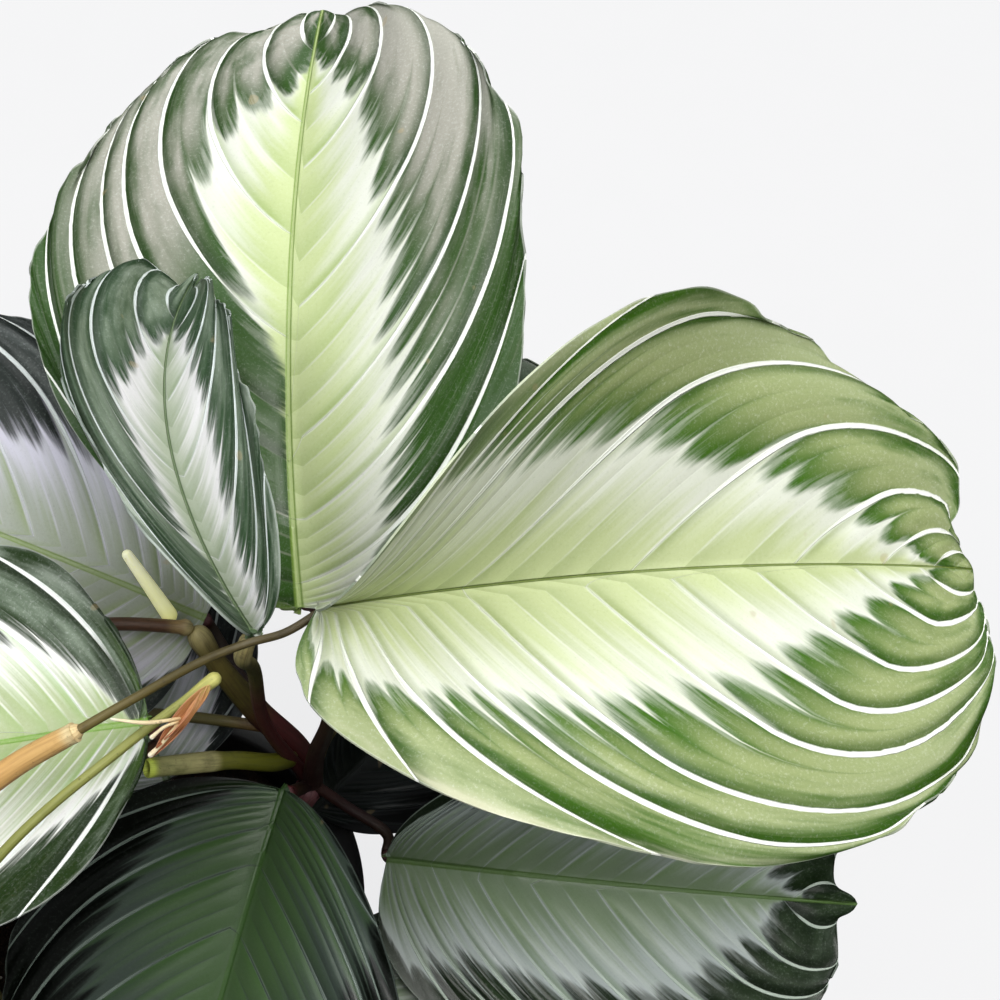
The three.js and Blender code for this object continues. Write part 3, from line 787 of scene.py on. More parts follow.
blades = {word: leaf_blade(word, leaf) for word, leaf in LEAVES.items()}
print("a blade has", len(blades["back_tall"].data.polygons), "faces")

# %% [markdown]
# ### The leaf's finish
# The leaf has a pale band along the midrib, yellow-green inside and white at its edge,
# torn into feather points that follow the veins. Outside it the leaf is deep green, with painted
# shade beside the veins and a grey silvery sheen painted into the colour where the gloss would
# reflect the light, crossed by white veins about a millimetre wide. All of it is drawn from the
# leaf's own map: across is 0 at the midrib and 1 at the margin, and the row tells which vein.

# %% Colours of each leaf
# inner band, outer band, deep green, painted grey sheen, white vein, midrib
LOOKS = {
    "back_tall": (
        (190, 202, 150), (216, 218, 208), (42, 74, 20),
        (160, 158, 148), (240, 243, 236), (120, 146, 66),
    ),
    "right_large": (
        (194, 204, 156), (222, 225, 212), (58, 98, 18),
        (150, 162, 110), (242, 245, 236), (104, 122, 52),
    ),
    "back_small": (
        (168, 176, 158), (218, 216, 218), (46, 70, 44),
        (124, 138, 120), (206, 214, 212), (92, 116, 72),
    ),
    "left_back": (
        (156, 162, 150), (204, 202, 216), (24, 32, 28),
        (66, 74, 68), (206, 212, 210), (130, 152, 84),
    ),
    "left_front": (
        (168, 180, 138), (246, 246, 244), (30, 50, 16),
        (116, 130, 112), (236, 240, 236), (120, 164, 60),
    ),
    # nearly black green: painted shade from the leaves above, over an old leaf's darker colour
    "front": (
        (64, 86, 54), (60, 70, 64), (3, 6, 2),
        (9, 14, 7), (108, 120, 112), (56, 86, 38),
    ),
    # darker than the upper leaves: an older leaf, and painted shade from the leaves above
    "right_low": (
        (116, 132, 106), (160, 168, 166), (18, 32, 12),
        (42, 58, 34), (166, 178, 166), (80, 108, 52),
    ),
    "back_right": (
        (110, 130, 92), (180, 186, 176), (30, 44, 26),
        (62, 76, 58), (176, 186, 172), (84, 110, 50),
    ),
    "back_left": (
        (160, 168, 160), (222, 222, 232), (22, 28, 28),
        (50, 58, 56), (176, 184, 182), (80, 104, 54),
    ),
    "left_low": (
        (160, 172, 156), (220, 222, 230), (28, 40, 30),
        (60, 72, 60), (172, 184, 176), (80, 106, 52),
    ),
    "left_top": (
        (180, 196, 136), (230, 234, 226), (54, 84, 32),
        (130, 144, 112), (238, 242, 234), (118, 146, 60),
    ),
    "front_left": (
        (110, 130, 96), (180, 188, 180), (26, 40, 22),
        (56, 72, 50), (170, 182, 168), (78, 108, 48),
    ),
    # nearly black: a dark leaf set as painted deep shade under the large leaf
    "right_under": (
        (16, 22, 18), (30, 36, 36), (4, 6, 6),
        (8, 11, 10), (30, 36, 34), (16, 22, 14),
    ),
}
LOOKS["front_right"] = LOOKS["front_left"]
# half width of the pale band along the leaf: pairs of row and share of the way to the margin,
# left half, then right half
EVEN_BAND = ((0, 0.5), (0.12, 0.4), (0.28, 0.31), (0.6, 0.34), (0.84, 0.33), (0.91, 0.2), (0.97, 0))
BAND_WIDTHS = {
    "back_tall": (
        # left half: the pale band is narrow and gone near the stalk; the dark green there is partly
        # painted shade of the small back leaf
        (
            (0, 0), (0.5, 0), (0.62, 0.04), (0.69, 0.14),
            (0.72, 0.36), (0.78, 0.44), (0.85, 0.36), (0.97, 0),
        ),
        (
            (0, 0.4), (0.15, 0.3), (0.3, 0.31), (0.55, 0.32),
            (0.83, 0.4), (0.89, 0.33), (0.94, 0.14), (0.97, 0),
        ),
    ),
    "right_large": (
        ((0, 0.95), (0.08, 0.85), (0.18, 0.58), (0.32, 0.4), (0.84, 0.32), (0.93, 0.2), (0.985, 0)),
        (
            (0, 0.5), (0.08, 0.49), (0.16, 0.4), (0.3, 0.33),
            (0.66, 0.36), (0.88, 0.26), (0.95, 0.14), (0.985, 0),
        ),
    ),
    "back_small": (
        ((0, 0), (0.45, 0.05), (0.6, 0.2), (0.7, 0.34), (0.84, 0.2), (0.9, 0.05), (0.97, 0)),
        (
            (0, 0.12), (0.4, 0.14), (0.5, 0.2), (0.6, 0.28),
            (0.72, 0.32), (0.83, 0.28), (0.9, 0.06), (0.97, 0),
        ),
    ),
    "left_front": (
        ((0, 0.1), (0.12, 0.2), (0.18, 0.4), (0.3, 0.46), (0.6, 0.42), (0.84, 0.33), (0.97, 0)),
        (
            (0, 0), (0.2, 0.04), (0.25, 0.12), (0.3, 0.26),
            (0.4, 0.32), (0.6, 0.36), (0.84, 0.33), (0.97, 0),
        ),
    ),
    "front": (
        ((0, 0.9), (0.1, 0.8), (0.2, 0.55), (0.35, 0.45), (0.84, 0.36), (0.97, 0)),
        ((0, 0.1), (0.15, 0.2), (0.22, 0.33), (0.35, 0.38), (0.5, 0.43), (0.84, 0.35), (0.97, 0)),
    ),
    "right_low": (
        EVEN_BAND,
        (
            (0, 0.8), (0.06, 0.7), (0.15, 0.4), (0.3, 0.31),
            (0.5, 0.35), (0.67, 0.43), (0.87, 0.3), (0.93, 0),
        ),
    ),
}
# widest half width of a main vein in mm, relief of the fine veins in mm, half width of the
# midrib in mm, how pale its crest is, and how far the painted grey sheen is held back
PLAIN_VEINS = (0.24, 0.14, 0.7, 0.3, 0.5)
VEIN_LOOKS = {
    "back_tall": (0.34, 0.18, 0.8, 0.5, 0.44),
    "right_large": (0.42, 0.22, 0.4, 0, 0.43),
    "back_small": (0.22, 0.12, 0.5, 0.2, 0.5),
    "left_back": (0.34, 0.16, 0.7, 0.2, 0.55),
    "left_front": (0.4, 0.12, 0.7, 0.3, 0.55),
    "front": (0.24, 0.24, 0.8, 0.2, 0.5),
    "right_low": (0.24, 0.24, 0.8, 0.1, 0.5),
}
# where a leaf's painted grey sheen comes up: how far out, then from which rows on
PAINTED_SHEEN_FROM = {"back_tall": (0.2, 0.5, 0.3, 0.6)}
# the dry strip along the near margin of the large leaf
DRY_STRIP = {"right_large": (214, 211, 186)}
print("looks written for", len(LOOKS), "leaves")


# %% Parts of the leaf pattern
class LeafPattern:
    """The measures that every part of a leaf's pattern is drawn from."""

    def __init__(self, f, seed):
        self.f = f
        self.seed = seed
        map_u, self.row = f.own_map("Leaf")
        self.side = map_u * 2 - 1
        self.half = self.side.rise(-0.01, 0.01)
        self.across = abs(self.side)
        for name in MEASURES:
            setattr(self, name, f.attribute(name))

    def noise(self, along, rows, detail=2, rough=0.5, shift=0.0):
        """Noise stretched along the veins: how fast it changes along and across them."""
        x, y = self.side * along + self.seed, self.vein_row * rows
        return self.f.noise(self.f.vector(x, y, self.seed + shift), 1.0, detail, rough)

    def chance(self, count):
        """One random value for each vein."""
        whole = count.sum_of("ROUND", count)
        place = self.f.vector(whole, self.half * 9, self.seed)
        return self.f.node("ShaderNodeTexWhiteNoise", {"noise_dimensions": "3D"}, {"Vector": place})


print("a leaf's pattern is drawn from its map and", len(MEASURES), "measures")


# %% Leaf finish
def leaf_finish(word, seed):
    """The upper face of one leaf."""
    inner, outer, deep, painted_sheen, white, rib = (colour(*c) for c in LOOKS[word])
    painted_shade = tuple(part * 0.35 for part in deep)
    left_band, right_band = BAND_WIDTHS.get(word, (EVEN_BAND, EVEN_BAND))
    vein_wide, fine_relief, rib_wide, crest, held_back = VEIN_LOOKS.get(word, PLAIN_VEINS)
    f = Finish("leaf_top_" + word)
    p = LeafPattern(f, seed)
    across, row = p.across, p.row
    # fine veins wander a little, so that no two panels are alike
    wander = p.noise(1.5, 9) - 0.5
    main_gap = p.main_veins.to_nearest()
    fine = p.fine_veins + wander * 0.4
    fine_gap = fine.to_nearest()
    luck = p.chance(fine)
    main_away = main_gap * p.main_room
    fine_away = fine_gap * p.fine_room
    # the band and its feather points
    width = f.curve(row, right_band)
    if left_band != right_band:
        width = f.mix(f.curve(row, left_band), width, p.half)
    near_fine = 1 - fine_gap * 2
    near_main = main_away.fall(0.0, 3.0)
    feather = near_fine**2 * (luck * 0.09 + 0.02) + near_fine**7 * luck * 0.1 + near_main**2 * 0.09
    feather = feather * (width.rise(0.0, 0.2) * 0.9 + 0.1) * row.fall(0.9, 0.985)
    edge = width + feather - 0.035 + (p.noise(3, 9, 3) - 0.5) * 0.14
    brush = p.noise(5, 120, 2, 0.6) - 0.5
    streak = p.noise(2, 60, 3, 0.6) - 0.5
    in_band = (across + brush * 0.08).fall(edge - 0.025, edge + 0.03)
    haze = (across + brush * 0.3 + streak * 0.2).fall(edge, edge + 0.1) * width.rise(0.0, 0.15)
    # the band, from the midrib outwards
    whiten = (across / (width + 0.02) + streak * 0.9 + wander * 0.6).rise(0.2, 0.9)
    band = f.mix(inner, outer, whiten)
    # painted shade: each fine panel of the band is darker just past its vein, like a pleat turned from
    # the light
    side_shade = fine.past_whole().fall(0.0, 0.85) * (1 - whiten * 0.6)
    band = f.mix(band, rib, side_shade * 0.3)
    # painted shadow on the tip side of each main vein in the band
    past_vein = p.main_veins.past_whole() * p.main_room
    band = f.mix(band, rib, past_vein.fall(0.5, 2.4) * across.rise(0.0, 0.1) * 0.4)
    band = f.mix(band, white, main_away.fall(0.1, 0.6) * across.rise(0.0, 0.08) * 0.5)
    band = f.mix(band, outer, fine_away.fall(0.05, 0.4) * across.rise(0.02, 0.1) * 0.5)
    # the green outside it, with painted shade beside the veins and a painted grey sheen that stands in
    # for reflected light
    cloud = p.noise(1.7, 3.4, 4, 0.6, 3.0)
    patch = p.noise(4, 16, 3, 0.6, 6.0)
    past_edge = (across - edge).rise(0.02, 0.24)
    lee = past_vein.rise(0.4, 4.0)
    # painted sheen: grey where the gloss would reflect light, stronger on the side of each panel away
    # from its vein
    painted_light = (cloud * 0.6 + patch * 0.4 + lee * 0.1).rise(held_back, held_back + 0.2)
    painted_light = painted_light * past_edge * (lee * 0.6 + 0.4)
    if word in PAINTED_SHEEN_FROM:
        low, high, first, full = PAINTED_SHEEN_FROM[word]
        painted_light = painted_light * across.rise(low, high) * row.rise(first, full)
    # painted shade: darker green just past each vein, on its tip side
    green = f.mix(deep, painted_shade, past_vein.fall(0.4, 4.0) * 0.6)
    green = f.mix(green, painted_sheen, painted_light)
    # painted highlight: the sheen is paler still towards the margin, where the blade curves down
    green = f.mix(green, outer, painted_light * across.rise(0.5, 0.9) * 0.12)
    green = f.mix(green, painted_sheen, brush.rise(0.02, 0.2) * past_edge * 0.12)
    green = f.mix(green, outer, haze * 0.3)
    thread = fine_away.fall(0.06, 0.4) * luck.rise(0.3, 0.95) * across.fall(0.5, 0.95)
    green = f.mix(green, painted_sheen, thread * 0.4)
    face = f.mix(green, band, in_band)
    # main veins: widest where they leave the band, thin at both ends
    vein_half = 0.12 + (across.rise(0.12, 0.42) - across.rise(0.55, 1.0) * 0.75) * vein_wide
    vein_half = vein_half * (p.main_room.rise(1.0, 7.0) * 0.7 + 0.3)
    vein = main_away.fall(vein_half * 0.7, vein_half * 1.25) * p.main_veins.rise(0.5, 0.9)
    # where there is no band the veins stay dark near the midrib; on the tall leaf this is part of its
    # painted shade
    vein = vein * row.fall(0.968, 0.985) * (width.rise(0.0, 0.1) + across.rise(0.2, 0.45))
    vein_colour = f.mix(outer, white, across.rise(0.1, 0.4))
    face = f.mix(face, vein_colour, vein * (0.55 + across.rise(0.1, 0.35) * 0.42))
    # midrib: green, with a paler crest on some leaves, narrowing to the tip
    rib_half = (1 - row * 0.65) * rib_wide
    face = f.mix(face, rib, p.off_midrib.fall(rib_half, rib_half * 1.8) * 0.85)
    face = f.mix(face, inner, p.off_midrib.fall(rib_half * 0.4, rib_half * 0.9) * crest)
    face = f.mix(face, rib, row.fall(0.0, 0.12) * across.fall(0.1, 0.8) * 0.3)
    # skin: silvery cells, brighter under the painted sheen, a few small marks, and a dry edge
    cells = f.noise(f.place(), 1500, 3, 0.8)
    face = f.mix(face, white, cells.rise(0.5, 0.75) * (0.08 + painted_light * 0.16))
    face = f.mix(face, deep, cells.fall(0.3, 0.45) * 0.1)
    marks = f.noise(f.place(), 170, 1, 0.4).rise(0.76, 0.8)
    face = f.mix(face, (170, 150, 110), marks * 0.35)
    face = f.mix(face, white, across.rise(0.984, 0.998) * 0.3)
    if word in DRY_STRIP:
        strip = across.rise(0.86, 0.96) * row.rise(0.02, 0.08) * row.fall(0.15, 0.5) * p.half
        face = f.mix(face, DRY_STRIP[word], strip * patch.rise(0.38, 0.6) * 0.6)
    pillow = 1 - near_fine**2
    height = pillow * fine_relief * across.rise(0.0, 0.1) * across.fall(0.3, 0.8)
    height = height + vein * 0.15 + cells * 0.03 + brush * 0.04
    height = height - p.off_midrib.fall(rib_half * 0.6, rib_half * 1.5) * 0.15
    return f.wear(
        base_color=face,
        roughness=0.26 + cells * 0.16,
        normal=f.bump(height, MM),
        specular_ior_level=0.26,
    )


for number, (word, piece) in enumerate(blades.items()):
    piece.data.materials.append(leaf_finish(word, number * 7.3))
print("leaf finishes:", len(blades))


# %% [markdown]
# ### The underside
# Below, the blades are dull: a muted maroon and green with the veins standing out paler. Only
# slivers of it show from above, more from the side and from under the plant.

# %% Underside finish
def underside_finish():
    f = Finish("leaf_underside")
    map_u, _ = f.own_map("Leaf")
    side = map_u * 2 - 1
    vein = (f.attribute("main_veins").to_nearest() * f.attribute("main_room")).fall(0.15, 0.6)
    fine = f.attribute("fine_veins").to_nearest().fall(0.05, 0.3)
    cloud = f.noise(f.place(), 60, 4, 0.6)
    ground = f.mix((96, 104, 82), (108, 66, 74), cloud.rise(0.35, 0.65))
    ground = f.mix(ground, (140, 132, 112), fine * 0.15)
    ground = f.mix(ground, (160, 150, 120), vein * 0.7)
    rib = f.attribute("off_midrib").fall(0.8, 1.6)
    ground = f.mix(ground, (134, 128, 84), rib * 0.8)
    grain = f.noise(f.place(), 1200, 2)
    rim = abs(side).rise(0.97, 1.0)
    ground = f.mix(ground, (150, 120, 100), rim * 0.6)
    return f.wear(
        base_color=ground,
        roughness=0.62 + grain * 0.1,
        normal=f.bump(vein * 0.6 + grain * 0.15, 0.0003),
    )


underside = underside_finish()
for word, piece in blades.items():
    piece.data.materials.append(underside)
    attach(piece, "root")
    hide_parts("leaf_" + word)
print("blades with an underside:", len(blades))

# %% [markdown]
# ## Stems and stalks
# Three stems rise from the soil and every leaf has a round stalk. A curve with a bevel would do,
# but the finish has to run along the stalk, and the stalk swells where it meets the leaf. So a
# grid is rolled round a smooth path: its width goes round, its height runs along. A list of
# stations says how thick it is at each distance, and ends that shrink to nothing close it.

# %% Smooth path
PATH_STEPS = 24


def smooth_path(points):
    """Points along a smooth curve through the given ones, in millimetres."""
    p = [np.array(point, float) for point in points]
    p = [2 * p[0] - p[1], *p, 2 * p[-1] - p[-2]]
    line = []
    for a, b, c, d in zip(p, p[1:], p[2:], p[3:]):
        before, here, after = (math.sqrt(np.linalg.norm(q - r)) for q, r in ((b, a), (c, b), (d, c)))
        leave = ((b - a) / before - (c - a) / (before + here) + (c - b) / here) * here
        arrive = ((c - b) / here - (d - b) / (here + after) + (d - c) / after) * here
        for t in np.arange(PATH_STEPS) / PATH_STEPS:
            ease = 3 * t**2 - 2 * t**3
            pull = leave * (t**3 - 2 * t**2 + t) + arrive * (t**3 - t**2)
            line.append(b * (1 - ease) + c * ease + pull)
    return np.array([*line, p[-2]])


def path_length(line):
    return float(np.linalg.norm(np.diff(line, axis=0), axis=1).sum())


test_path = smooth_path([(0, 0, 0), (3, 4, 0), (6, 8, 0)])
print("a test path is", round(path_length(test_path), 2), "mm long")


# %% Roll a grid round a path
STALK_SIDES = 20
RING_SPACING = 0.9
HEADING_STEP = 0.3


def along_path(distance, walked, line):
    """The points of a path at these distances along it."""
    return np.stack([np.interp(distance, walked, line[:, k]) for k in range(3)], -1)


def rolled(name, line, stations):
    """A round piece along a path. stations: distance along it and radius, in millimetres."""
    walked = np.concatenate([[0], np.cumsum(np.linalg.norm(np.diff(line, axis=0), axis=1))])
    rings = [stations[0]]
    for (d0, r0), (d1, r1) in zip(stations, stations[1:]):
        count = max(1, math.ceil(abs(d1 - d0) / RING_SPACING))
        for i in range(1, count + 1):
            rings.append((d0 + (d1 - d0) * i / count, r0 + (r1 - r0) * i / count))
    along = np.array([d for d, _ in rings])
    radius = np.array([r for _, r in rings])
    centres = along_path(along, walked, line)
    ahead = along_path(along + HEADING_STEP, walked, line)
    heading = ahead - along_path(along - HEADING_STEP, walked, line)
    heading /= np.linalg.norm(heading, axis=1, keepdims=True)
    first = np.cross(heading[0], (0.3, 0.2, 0.93))
    sides_of = []
    for way in heading:
        first = first - way * first.dot(way)
        first = first / np.linalg.norm(first)
        sides_of.append(first)
    sides_of = np.array(sides_of)
    ups = np.cross(heading, sides_of)
    piece, net = grid(name, STALK_SIDES, len(rings) - 1)
    ring = np.rint((net[:, 1] + 1) / 2 * (len(rings) - 1)).astype(int)
    turn = np.pi * (net[:, 0] + 1)
    reach = radius[ring][:, None]
    round_it = np.cos(turn)[:, None] * sides_of[ring] + np.sin(turn)[:, None] * ups[ring]
    points = centres[ring] + reach * round_it
    set_map(piece, "Stalk", (net[:, 0] + 1) / 2, along[ring] / walked[-1])
    move_net(piece, points * MM)
    merge_close(piece, 2e-6)
    face_outwards(piece)
    return piece


def rounded(length, radii):
    """Stations of a stalk with rounded ends. radii: share of the length and radius."""
    first, last = radii[0][1], radii[-1][1]
    turns = [math.radians(a) for a in (0, 30, 60)]
    start = [(first * (1 - math.cos(a)), first * math.sin(a)) for a in turns]
    end = [(length - last * (1 - math.cos(a)), last * math.sin(a)) for a in reversed(turns)]
    middle = [(share * length, radius) for share, radius in radii]
    middle[0] = (first, first)
    middle[-1] = (length - last, last)
    return [*start, *middle, *end]


def stalk(name, points, radii, finish):
    """A stalk through points. radii: pairs of share of the length and radius."""
    line = smooth_path(points)
    piece = rolled(name, line, rounded(path_length(line), radii))
    piece.data.materials.append(finish)
    soften(piece, 60)
    return piece


def joined(name, parts):
    """Several parts as one piece."""
    deselect()
    for part in parts:
        part.select_set(True)
    bpy.context.view_layer.objects.active = parts[0]
    bpy.ops.object.join()
    return take_name(name)


print("helpers for stalks are ready")

# %% [markdown]
# ### Finishes of the stalks
# Real stalks change colour along their length: a sheath is tan with a cream lip, a stalk is
# olive and turns maroon at its foot, an old cut stub is pale. A ramp along the stalk's own map
# gives that change, fine streaks along it give the fibre, and a few specks break it up.


# %% Stalk finish
def stalk_finish(name, stops, streak, strength=0.5, rough=0.42, painted_light=0.0):
    """stops: the place along the stalk, then red, green and blue from 0 to 255."""
    f = Finish(name)
    round_it, along = f.own_map("Stalk")
    body = f.shades(along, stops)
    fibre = f.noise(f.vector(round_it * 26, along * 7), 1.0, 3, 0.6)
    body = f.mix(body, streak, fibre.rise(0.42, 0.72) * strength)
    cloud = f.noise(f.place(), 240, 4, 0.6)
    body = f.mix(body, streak, cloud.rise(0.5, 0.75) * 0.45)
    speck = f.noise(f.place(), 900, 2, 0.6).rise(0.66, 0.72)
    body = f.mix(body, (36, 26, 18), speck * 0.35)
    return f.wear(
        base_color=body,
        roughness=rough + cloud * 0.2,
        normal=f.bump(fibre * 0.6 + cloud * 0.3, 0.0002),
        # emission: a stalk given painted light glows by itself, though it is no lamp
        emission_color=body,
        emission_strength=painted_light,
    )


OLIVE = stalk_finish(
    "stalk_olive",
    [(0, 112, 84, 52), (0.15, 96, 90, 48), (0.8, 72, 64, 38), (1, 92, 52, 44)],
    (58, 44, 30),
)
PETIOLE = stalk_finish(
    "petiole_front",
    [(0, 136, 110, 60), (0.12, 104, 92, 48), (0.5, 84, 74, 38), (1, 66, 56, 32)],
    (46, 38, 22), 0.4,
)
MAROON = stalk_finish(
    "stalk_maroon",
    [(0, 60, 30, 24), (0.4, 44, 20, 18), (0.75, 52, 36, 20), (0.92, 86, 34, 36), (1, 150, 104, 108)],
    (30, 14, 12),
)
CENTRE = stalk_finish(
    "stem_centre_skin",
    [(0, 60, 24, 24), (0.4, 84, 34, 34), (0.62, 88, 80, 34), (0.85, 112, 100, 48), (1, 186, 172, 116)],
    (44, 26, 18),
)
SHEATH = stalk_finish(
    "sheath_tan",
    [
        (0, 96, 60, 34), (0.45, 150, 100, 56), (0.75, 196, 150, 88),
        (0.955, 206, 166, 104), (0.98, 222, 202, 154), (1, 216, 190, 140),
    ],
    (150, 106, 60), 0.4, 0.55,
)
# the cream stub glows a little: painted light that lifts it out of the shade of the leaves above
PALE = stalk_finish(
    "stub_pale",
    [(0, 236, 236, 150), (0.3, 250, 250, 190), (1, 254, 254, 214)],
    (236, 238, 160), 0.3, 0.5, 0.28,
)
HOLLOW = stalk_finish(
    "stub_hollow",
    [
        (0, 74, 76, 10), (0.35, 96, 98, 16), (0.55, 112, 112, 40),
        (0.62, 184, 176, 122), (0.93, 160, 158, 104), (0.985, 214, 230, 96),
    ],
    (70, 76, 30), 0.4,
)
FLOWER_GREEN = stalk_finish(
    "flower_stalk_green",
    [(0, 96, 92, 44), (0.4, 122, 126, 58), (0.9, 146, 148, 80), (1, 196, 192, 110)],
    (100, 104, 46), 0.45,
)
ARM = stalk_finish(
    "arm_brown",
    [(0, 196, 182, 128), (0.12, 150, 124, 80), (0.25, 92, 62, 40), (1, 76, 48, 34)],
    (38, 24, 18),
)
print("stalk finishes:", 9)

# %% [markdown]
# ### The stems and where they go
# The paths are the same as in the model, and each stalk ends in its leaf's keel. A
# stalk swells a little under the leaf: that joint is what lifts the blades at night.

# %% Where a stalk meets its leaf
STALK = 1.3
SOIL_TOP = 92
STEM_FOOT = 77
CROWN = (42.9, 14.4, 135.5)
ELBOW = (20.8, 26.9, 183.3)
SHEATH_END = (10.8, -21.1, 227.8)
FLOWER_STALK_TIP = (36.1, -15, 236.4)


def up_to(word, higher=0):
    """The last two points of a stalk: it comes up square to the blade, into its keel."""
    along, _, up = leaf_axes(LEAVES[word])
    seat = np.array(LEAVES[word]["base"]) + along * 0.6
    return [tuple(seat - up * 8 - along * 1.5), tuple(seat + up * (higher - 1.6))]


def swelling(radius):
    """Radii of a stalk that swells at both ends, most of all under its leaf."""
    shares = (0, 1.1), (0.08, 1), (0.86, 1), (0.93, 1.16), (1, 1.05)
    return [(place, radius * share) for place, share in shares]


def to_leaf(word, radius, finish, *points):
    """A stalk through points to the keel of a leaf."""
    return stalk("to_" + word, [*points, *up_to(word)], swelling(radius), finish)


print("tall leaf's stalk ends at", [round(v, 1) for v in up_to("back_tall")[1]])

# %% Centre stem
centre_parts = [
    stalk(
        "centre_foot",
        [(26, -4, STEM_FOOT), (26, -3.5, SOIL_TOP), (30, 3, 116), CROWN],
        [(0, 3), (0.9, 3), (0.97, 3.25), (1, 2.9)], MAROON,
    ),
    stalk(
        "centre_rise",
        [CROWN, (40.6, 17.9, 144.1), (32.4, 20.5, 158.1), (25.4, 23.5, 172.4), ELBOW],
        [(0, 3), (0.5, 2.9), (0.85, 2.3), (0.94, 2.7), (1, 2.6)], CENTRE,
    ),
    to_leaf("left_back", 1.6, MAROON, (33, 20, 159)),
    stalk(
        "elbow_arm", [ELBOW, (8.8, 26, 186.4), (-5, 24, 189.5)],
        [(0, 1.9), (0.12, 1.5), (1, 1.4)], ARM,
    ),
    to_leaf("left_low", STALK, OLIVE, (34.5, 19, 154), (12, 22, 154), (-22, 24, 154)),
    stalk(
        "stub_cream", [(16.3, 28.8, 183), (11.7, 33.2, 190), (7, 37.6, 197)],
        [(0, 1.75), (1, 1.15)], PALE,
    ),
    to_leaf("back_small", 1.5, CENTRE, CROWN, (35.5, 13, 165), (36.5, 8, 198)),
    stalk(
        "to_back_tall", [CROWN, (46, 9, 160), (51, 8, 184), *up_to("back_tall")],
        [(0, 2.4), (0.3, 2), (0.6, 1.6), (0.86, 1.3), (0.93, 1.5), (1, 1.3)], MAROON,
    ),
    to_leaf("front", 1.5, MAROON, CROWN),
    to_leaf("right_low", STALK, MAROON, CROWN, (50, 12, 129), (60, 7, 123)),
    to_leaf("back_right", STALK, OLIVE, CROWN, (47, 24, 142)),
    to_leaf("right_under", STALK, MAROON, (30, 3, 112), (40, 12, 106)),
    to_leaf("back_left", STALK, OLIVE, (30, 3, 118), (18, 10, 128)),
]
stub_line = smooth_path([(40, 15.4, 146.6), (35.8, 11.7, 151), (27.6, 8.5, 158.2), (11, 1.6, 168)])
stub_end = path_length(stub_line)
# over the rim of the cut end and back down inside it: distance from the end, and radius
STUB_RIM = (
    (2, 2.15), (0.5, 2.2), (0.1, 2.05), (0, 1.8), (0.2, 1.5), (1, 1.36), (5, 1.3), (5.2, 0.6), (5.2, 0),
)
stub_stations = [(0, 0), (0.6, 1.4), (2, 2.1), (stub_end * 0.52, 2), (stub_end * 0.6, 2.3)]
stub_stations += [(stub_end - back, radius) for back, radius in STUB_RIM]
hollow_stub = rolled("stub_hollow", stub_line, stub_stations)
hollow_stub.data.materials.append(HOLLOW)
soften(hollow_stub, 70)
centre_stem = joined("stems_centre", [*centre_parts, hollow_stub])
print("centre stem:", len(centre_stem.data.polygons), "faces; the stub is", round(stub_end, 1), "mm")

# %% Short stem
short_stem = joined("stems_short", [
    stalk(
        "short_foot", [(2, -6, STEM_FOOT), (2, -6, SOIL_TOP), (1, -9, 118)],
        [(0, 2.2), (0.9, 2.2), (1, 1.5)], MAROON,
    ),
    to_leaf("left_front", STALK, OLIVE, (1.5, -7, 104), (-5, 0, 126), (-6, 0, 148), (3, -6, 178)),
    to_leaf("front_right", STALK, OLIVE, (2, -6, 96), (24, -17, 99)),
])
print("short stem:", len(short_stem.data.polygons), "faces")

# %% Left stem with its sheath
left_arch = [
    (-37, -66, 165), (-37, -68, 190), (-29, -54, 207), (-15, -33, 214), (-3, -25.4, 220.4), SHEATH_END,
]
flower_path = [
    (-37, -68, 184), (-22, -64, 204), (-2.1, -40.8, 218.9), (18.5, -24.5, 227), FLOWER_STALK_TIP,
]
left_stem = joined("stems_left", [
    stalk(
        "left_foot",
        [
            (-27, -21, STEM_FOOT), (-27.5, -22, SOIL_TOP), (-33, -46, 125),
            (-37, -66, 165), (-37.2, -66.8, 170),
        ],
        [(0, 2.8), (0.93, 2.7), (1, 2.2)], MAROON,
    ),
    stalk(
        "sheath", left_arch,
        [
            (0, 2.75), (0.03, 3), (0.1, 2.7), (0.4, 2.5), (0.8, 2.3),
            (0.93, 2.05), (0.97, 1.9), (0.985, 1.95), (1, 1.5),
        ],
        SHEATH,
    ),
    stalk(
        "to_right_large",
        [
            (7, -22.6, 226), SHEATH_END, (21.4, -16.7, 232.1), (33, -13.1, 238), (41, -11.1, 240.7),
            (47.5, -7.8, 239), up_to("right_large", -0.5)[1],
        ],
        [(0, 0.95), (0.3, 0.86), (0.8, 0.76), (1, 0.8)], PETIOLE,
    ),
    to_leaf("left_top", STALK, OLIVE, (-37, -68, 190)),
    to_leaf("front_left", STALK, OLIVE, (-28.5, -27, 99)),
    stalk(
        "flower_stalk", flower_path,
        [(0, 1), (0.3, 0.95), (0.93, 0.9), (0.965, 1.25), (1, 1.35)], FLOWER_GREEN,
    ),
])
print("left stem:", len(left_stem.data.polygons), "faces")
for piece, node in ((centre_stem, "stem_centre"), (short_stem, "stem_short"), (left_stem, "stem_left")):
    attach(piece, "root")
    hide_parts(node)

# %% [markdown]
# ## The withered flower
# Three narrow dry bracts hang from the tip of the flower stalk, folded like small boats, rust and
# salmon with a pink edge. Pale threads curl out of them. Each bract is a small grid folded along
# its middle, so that it has the thin crisp edges of dry petals; the threads are rolled grids.


